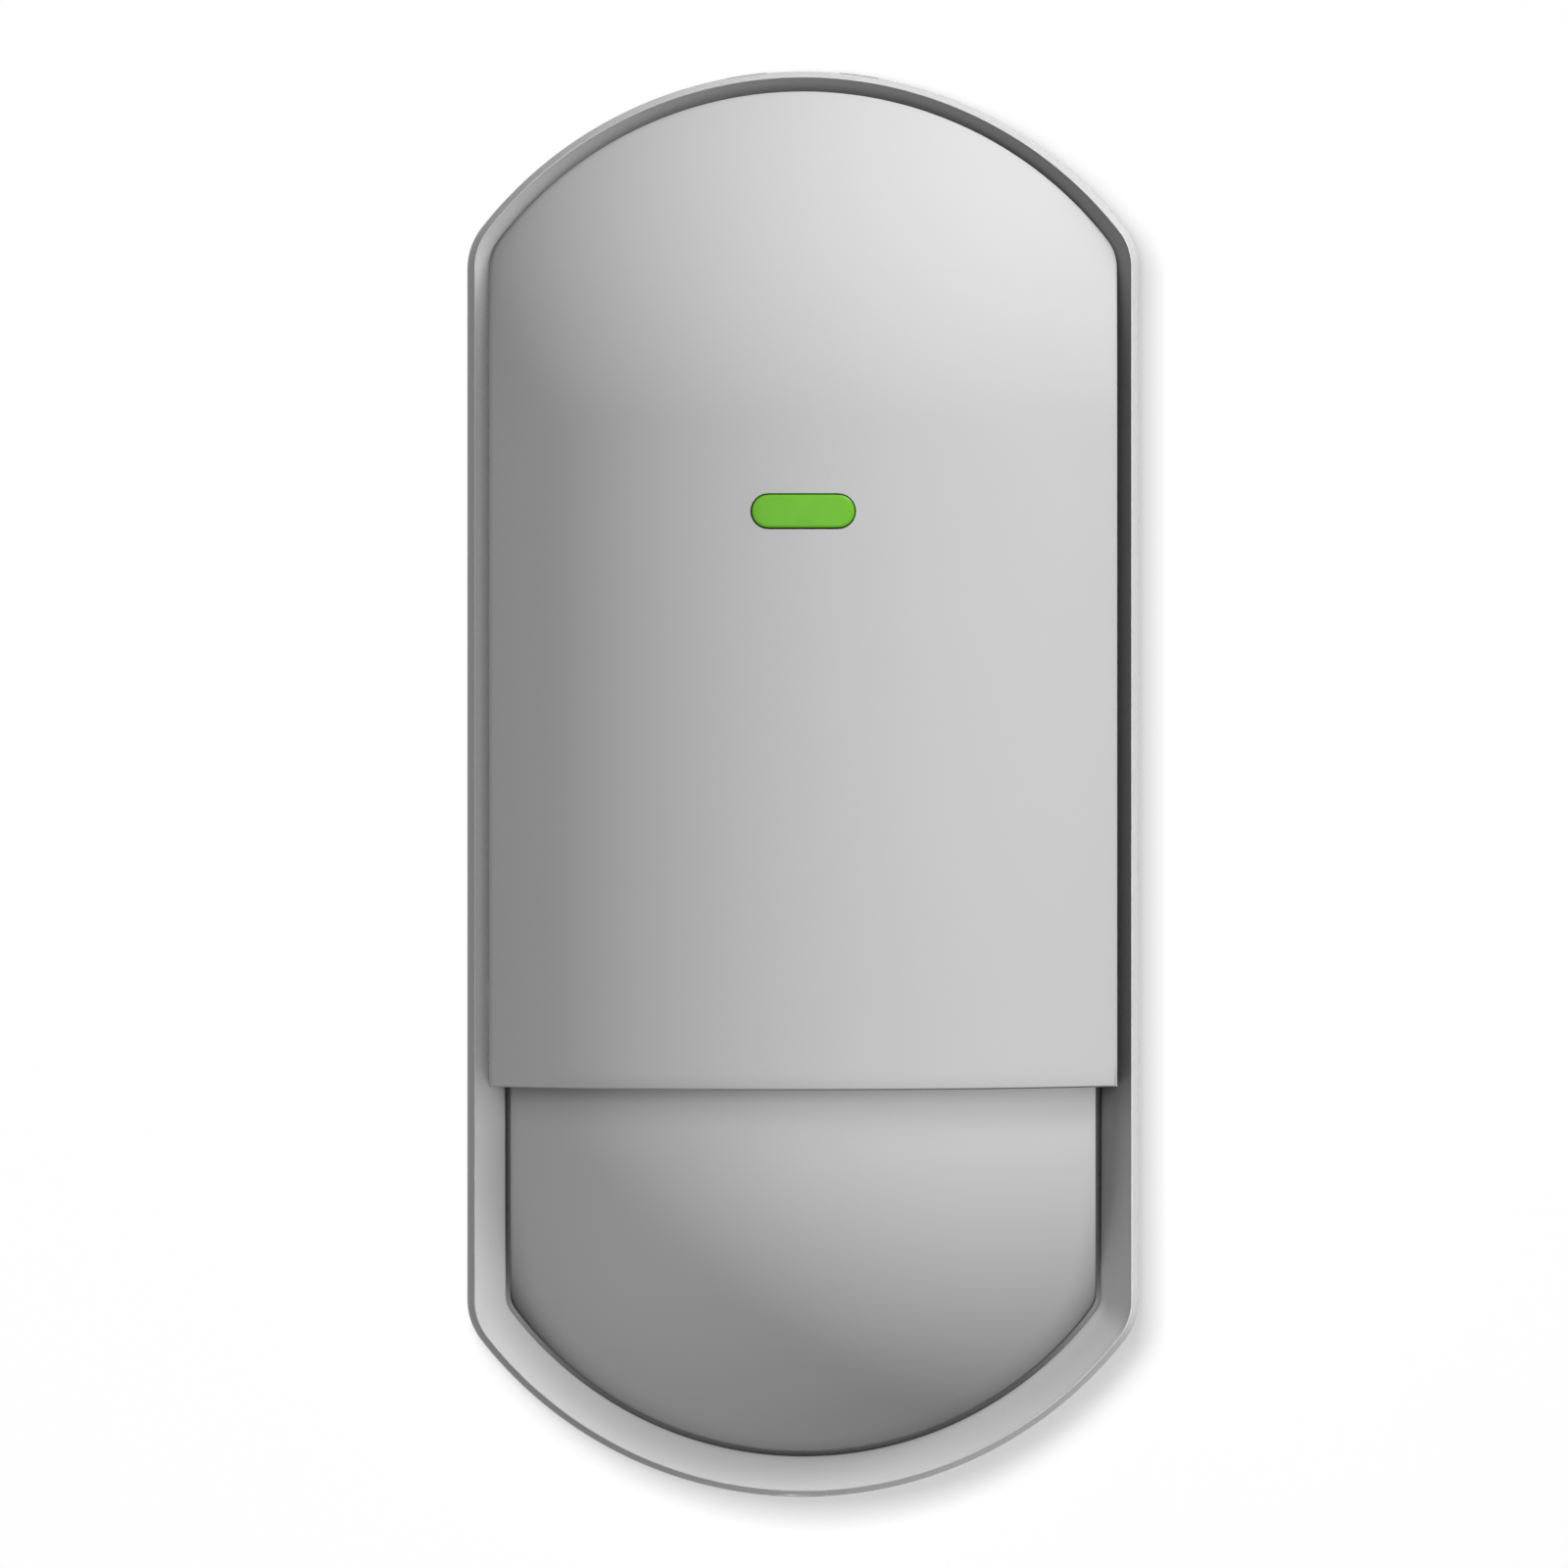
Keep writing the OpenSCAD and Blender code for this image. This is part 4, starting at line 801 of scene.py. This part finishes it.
def chips():
    """Small resistors, capacitors and their tinned ends; each is (x, z, upright)."""
    places = [(-5.6, -27.6, 0), (-2.0, -27.6, 0), (1.6, -30.0, 1), (-6.9, -24.0, 1), (-3.2, -23.4, 1),
              (0.2, -24.6, 1), (3.4, -22.6, 0), (7.2, -16.2, 1), (9.6, -15.6, 1), (11.8, -12.4, 1),
              (11.8, -8.4, 1), (8.2, -6.4, 0), (15.6, 5.4, 0), (16.0, 9.0, 0), (16.0, 12.6, 0),
              (15.8, 16.0, 0), (-4.2, 24.2, 1), (4.3, 24.2, 1), (-5.4, 8.0, 1), (-5.4, 15.2, 1),
              (-0.4, 17.6, 0), (-8.0, -5.8, 0), (-19.6, -9.4, 1), (-19.6, -13.6, 1), (-15.2, -19.2, 0),
              (-11.2, -19.2, 0), (17.2, -20.4, 0), (17.2, -24.0, 0), (17.2, -30.8, 1), (-17.6, -26.0, 1),
              (8.6, -35.6, 0), (-8.6, -35.6, 0)]
    resistors, capacitors, ends = [], [], []
    for i, (x, z, upright) in enumerate(places):
        ceramic = i % 3 == 1
        tall = 0.8 if ceramic else 0.5
        along, across = (0.65, 0.82) if upright else (0.82, 0.65)
        (capacitors if ceramic else resistors).append(
            brick(x - along, x + along, z - across, z + across, FACE_D, FACE_D + tall))
        for side in (-1, 1):
            for out, wide, high in ((1.05, 0.68, tall + 0.06), (1.45, 0.77, 0.06)):
                u0, u1 = sorted((side * 0.7, side * out))
                edges = ((x - wide, x + wide, z + u0, z + u1) if upright
                         else (x + u0, x + u1, z - wide, z + wide))
                ends.append(brick(*edges, FACE_D, FACE_D + high, 0.02))
    heap("chip_resistors", "black_plastic", *resistors)
    heap("chip_capacitors", "white_plastic", *capacitors, finish=TAN_CERAMIC)
    heap("chip_ends", "tin", *ends)


def legs(x, edge, side, half, steps, soft=0.03):
    """A bent leg at an edge in z: a brick for each (start, reach, height), away from the edge."""
    made = []
    for start, out, high in steps:
        z0, z1 = sorted((edge - side * start, edge + side * out))
        made.append(brick(x - half, x + half, z0, z1, FACE_D, FACE_D + high, soft))
    return made


def switch_legs():
    """Legs of the push switches and slide switches, and the radio module's edge contacts."""
    tin = []
    for x, z in PUSH_SWITCHES:
        for u in (x - 2.2, x + 2.2):
            for side in (-1, 1):
                tin += legs(u, z + side * 3.0, side, 0.35, ((0.05, 0.2, 1.4), (0.05, 0.95, 0.15)))
    for x in DIP_X:
        for edge, side in ((dip_lo.z, -1), (dip_hi.z, 1)):
            tin += legs(x, edge, side, 0.28, ((0.05, 0.18, 1.3), (0.05, 0.8, 0.14)))
    low, high = box("radio_board")
    for k in range(11):
        z = low.z + 1.2 + RADIO_PITCH * k
        for edge, side in ((low.x, -1), (high.x, 1)):
            for start, out, tall in ((0.55, 0.06, 0.84), (0.0, 0.45, 0.12)):
                x0, x1 = sorted((edge - side * start, edge + side * out))
                tin.append(brick(x0, x1, z - 0.32, z + 0.32, FACE_D, FACE_D + tall, 0.02))
    heap("switch_legs", "tin", *tin)


def learn_switch_top():
    """The metal plate round the learn button, with its four rivets."""
    low, high = box("learn_switch")
    x, z, top = (low.x + high.x) / 2, (low.z + high.z) / 2, -low.y
    metal = prism("learn_switch_plate", box_loop(x - 2.75, x + 2.75, z - 2.75, z + 2.75, 0.6),
                  top - 0.02, top + 0.14, 0.04)
    shape(metal, rod("hole", 1.95, (x, top - 1, z), (x, top + 1, z)))
    dress(metal, "tin", "base")
    heap("learn_switch_rivets", "black_plastic",
         *[plate(circle(0.32, x + a, z + b, 20), top + 0.1, top + 0.32, 0.1, 2)
           for a in (-2.15, 2.15) for b in (-2.15, 2.15)])


def board_marks():
    """The dark side on the capacitor's top, and the white lines printed round the larger parts."""
    low, high = box("capacitor")
    middle, top = (low + high) / 2, -low.y
    angles = [math.radians(a) for a in range(115, 246, 5)]
    heap("capacitor_mark", "black_plastic",
         flat([(middle.x + 2.6 * math.cos(a), middle.z + 2.6 * math.sin(a)) for a in angles],
              top - 0.02, top + 0.02))
    lines = []
    for x0, x1, z0, z1 in ((chip_lo.x - 0.6, chip_hi.x + 0.6, chip_lo.z - 0.6, chip_hi.z + 0.6),
                           (13.6, 20.4, -18.3, -9.7), (13.6, 20.4, -4.4, 4.4),
                           (low.x - 0.4, high.x + 0.4, low.z - 0.4, high.z + 0.4),
                           (-1.6, 6.6, -18.0, -10.0), (-17.2, -4.8, -17.4, -8.6)):
        corners = [(x0, z0), (x1, z0), (x1, z1), (x0, z1)]
        lines += [strip([p, q], 0.16) for p, q in zip(corners, corners[1:] + corners[:1])]
    (left, z), (right, _) = TABS
    lines += [strip([(right + 1.6, z), (right + 3.0, z)], 0.22),        # plus and minus
              strip([(right + 2.3, z - 0.7), (right + 2.3, z + 0.7)], 0.22),
              strip([(left - 3.0, z), (left - 1.6, z)], 0.22)]
    heap("board_ink", "white_plastic", *[on_board(line, 0.03, 0.02) for line in lines])


def bent_strip(x, path, half, thick):
    """Rings of a stamped metal strip that follows (z, depth) points, between x - half and x + half."""
    rings = []
    for i, (z, d) in enumerate(path):
        (z0, d0), (z1, d1) = path[max(i - 1, 0)], path[min(i + 1, len(path) - 1)]
        run = math.hypot(z1 - z0, d1 - d0)
        nz, nd = -(d1 - d0) / run * thick / 2, (z1 - z0) / run * thick / 2
        rings.append([(x - half, d - nd, z - nz), (x + half, d - nd, z - nz),
                      (x + half, d + nd, z + nz), (x - half, d + nd, z + nz)])
    return rings


def battery_tabs():
    """The cell's two contacts reach down to the board, where each is soldered."""
    path = [(33.4, 11.3), (31.9, 11.3), (31.6, 11.22), (31.4, 11.0), (31.0, 10.05), (30.8, 9.83),
            (30.5, 9.75), (28.9, 9.75)]
    heap("battery_tabs", "tin", *[bent_strip(x, path, 0.9, 0.25) for x, z in TABS])
    solder = [[[(u, FACE_D + d, v) for u, v in circle(r, x, z, 28)] for r, d in cone]
              for x, z in TABS for cone in (((1.3, 0.0), (1.15, 0.16)), ((1.15, 0.16), (0.7, 0.45)))]
    heap("battery_solder", "tin", *solder)


board_copper()
chips()
switch_legs()
learn_switch_top()
board_marks()
battery_tabs()


# ---------------------------------------------------------------- stage, light and camera, in metres
WHITE, PAINT, GREY = (1, 1, 1, 1), (0.9, 0.9, 0.9, 1), (0.5, 0.5, 0.5, 1)
MIDDLE = Vector((0, -0.02, 0))              # what the lamps are aimed at
WALL_HALF, WALL_Y = 3.0, 0.0006
WALL_GLOW, ROOM_LIGHT = 0.57, 0.04
CAMERA_AT, CAMERA_LENS = (-0.0017, -3.906, 0.0), 1000


def stage_wall():
    """A white wall just behind the object, which glows a little and isn't there from behind."""
    mesh = bpy.data.meshes.new("wall")
    corners = [(-1, -1), (1, -1), (1, 1), (-1, 1)]
    mesh.from_pydata([(x * WALL_HALF, WALL_Y, z * WALL_HALF) for x, z in corners], [], [(0, 1, 2, 3)])
    made = place("wall", mesh)
    paint = bpy.data.materials.new("wall_paint")
    paint.use_nodes = True
    tree = paint.node_tree
    tree.nodes.clear()
    coat = node(tree, "BsdfDiffuse", Color=PAINT).outputs["BSDF"]
    glow = node(tree, "Emission", Strength=WALL_GLOW).outputs["Emission"]
    both = node(tree, "AddShader", _0=coat, _1=glow).outputs["Shader"]
    clear = node(tree, "BsdfTransparent").outputs["BSDF"]
    facing = node(tree, "NewGeometry").outputs["Backfacing"]
    choose = node(tree, "MixShader", _0=facing, _1=both, _2=clear).outputs["Shader"]
    node(tree, "OutputMaterial", Surface=choose)
    mesh.materials.append(paint)
    made.visible_shadow = made.visible_diffuse = made.visible_glossy = False
    return made


def lamp(name, azimuth, elevation, size, power, distance=1.2, shadow=True, sheen=True, only=(), never=()):
    """A square soft light aimed at the middle of the object. It lights nothing but the objects
    in only, or all but those in never; a lamp without sheen leaves no highlights."""
    a, e = math.radians(azimuth), math.radians(elevation)
    away = Vector((math.sin(a) * math.cos(e), -math.cos(a) * math.cos(e), math.sin(e)))
    data = bpy.data.lights.new(name, "AREA")
    data.energy, data.size, data.use_shadow = power, size, shadow
    data.cycles.max_bounces = 0             # the light isn't thrown on from piece to piece
    made = place(name, data)
    made.location = away * distance + MIDDLE
    made.rotation_mode = "QUATERNION"
    made.rotation_quaternion = away.to_track_quat("Z", "Y")
    made.visible_glossy = sheen
    group = bpy.data.collections.new(name + "_receivers")
    made.light_linking.receiver_collection = group
    for obj in only or never:
        group.objects.link(obj)
    for item in group.collection_objects:
        item.light_linking.link_state = "INCLUDE" if only else "EXCLUDE"
    return made


def lights():
    """Soft light from the upper right, with the rim and the wall lit by lamps of their own."""
    wall = stage_wall()
    lamp("key", 55, 43, 0.35, 1.5, never=[wall])
    lamp("front", 0, 0, 0.8, 4.5, never=[wall])
    lamp("front_left", -30, 20, 0.6, 1.0, never=[wall])
    lamp("fill", -55, -35, 0.5, 1.8, never=[wall])
    lamp("back", 180, 0, 0.6, 11.0, shadow=False, sheen=False, never=[wall])
    lamp("key_even", 55, 43, 0.1, 12.9, shadow=False, never=[wall, front])
    key_rim = lamp("key_rim", 55, 43, 0.7, 6.8, only=[front])
    blockers = bpy.data.collections.new("key_rim_blockers")     # only the cover shades the rim
    blockers.objects.link(cover)
    key_rim.light_linking.blocker_collection = blockers
    lamp("key_rim_even", 55, 43, 0.35, 6.4, shadow=False, only=[front])
    lamp("low_rim", 75, -30, 0.4, 6.0, shadow=False, only=[front])
    lamp("top_rim", -170, 65, 0.5, 3.6, shadow=False, sheen=False, only=[front])
    lamp("wall_light", -2.9, 2.9, 0.15, 10.4, distance=1.5, only=[wall])


def room():
    """Camera, mirror and glass rays see white; the rest gets a little grey light."""
    world = bpy.data.worlds.new("world")
    bpy.context.scene.world = world
    world.use_nodes = True
    tree = world.node_tree
    tree.nodes.clear()
    path = node(tree, "LightPath").outputs
    straight = node(tree, "Math", _0=path["Is Camera Ray"], _1=path["Is Glossy Ray"]).outputs[0]
    through = node(tree, "Math", _0=straight, _1=path["Is Transmission Ray"])
    through.use_clamp = True                # both nodes add, as Math nodes do at first
    dim = node(tree, "Background", Color=GREY, Strength=ROOM_LIGHT).outputs["Background"]
    seen = node(tree, "Background", Color=WHITE).outputs["Background"]
    pick = node(tree, "MixShader", _0=through.outputs[0], _1=dim, _2=seen).outputs["Shader"]
    node(tree, "OutputWorld", Surface=pick)


def far_camera():
    """A long lens far in front, a little left of the middle."""
    data = bpy.data.cameras.new("camera")
    data.lens, data.sensor_width = CAMERA_LENS, 36
    data.clip_start, data.clip_end = 0.1, 20
    camera = place("camera", data)
    camera.location = CAMERA_AT
    camera.rotation_euler = (math.radians(90), 0, 0)
    bpy.context.scene.camera = camera


lights()
room()
far_camera()
bpy.context.scene.view_settings.view_transform = "Standard"
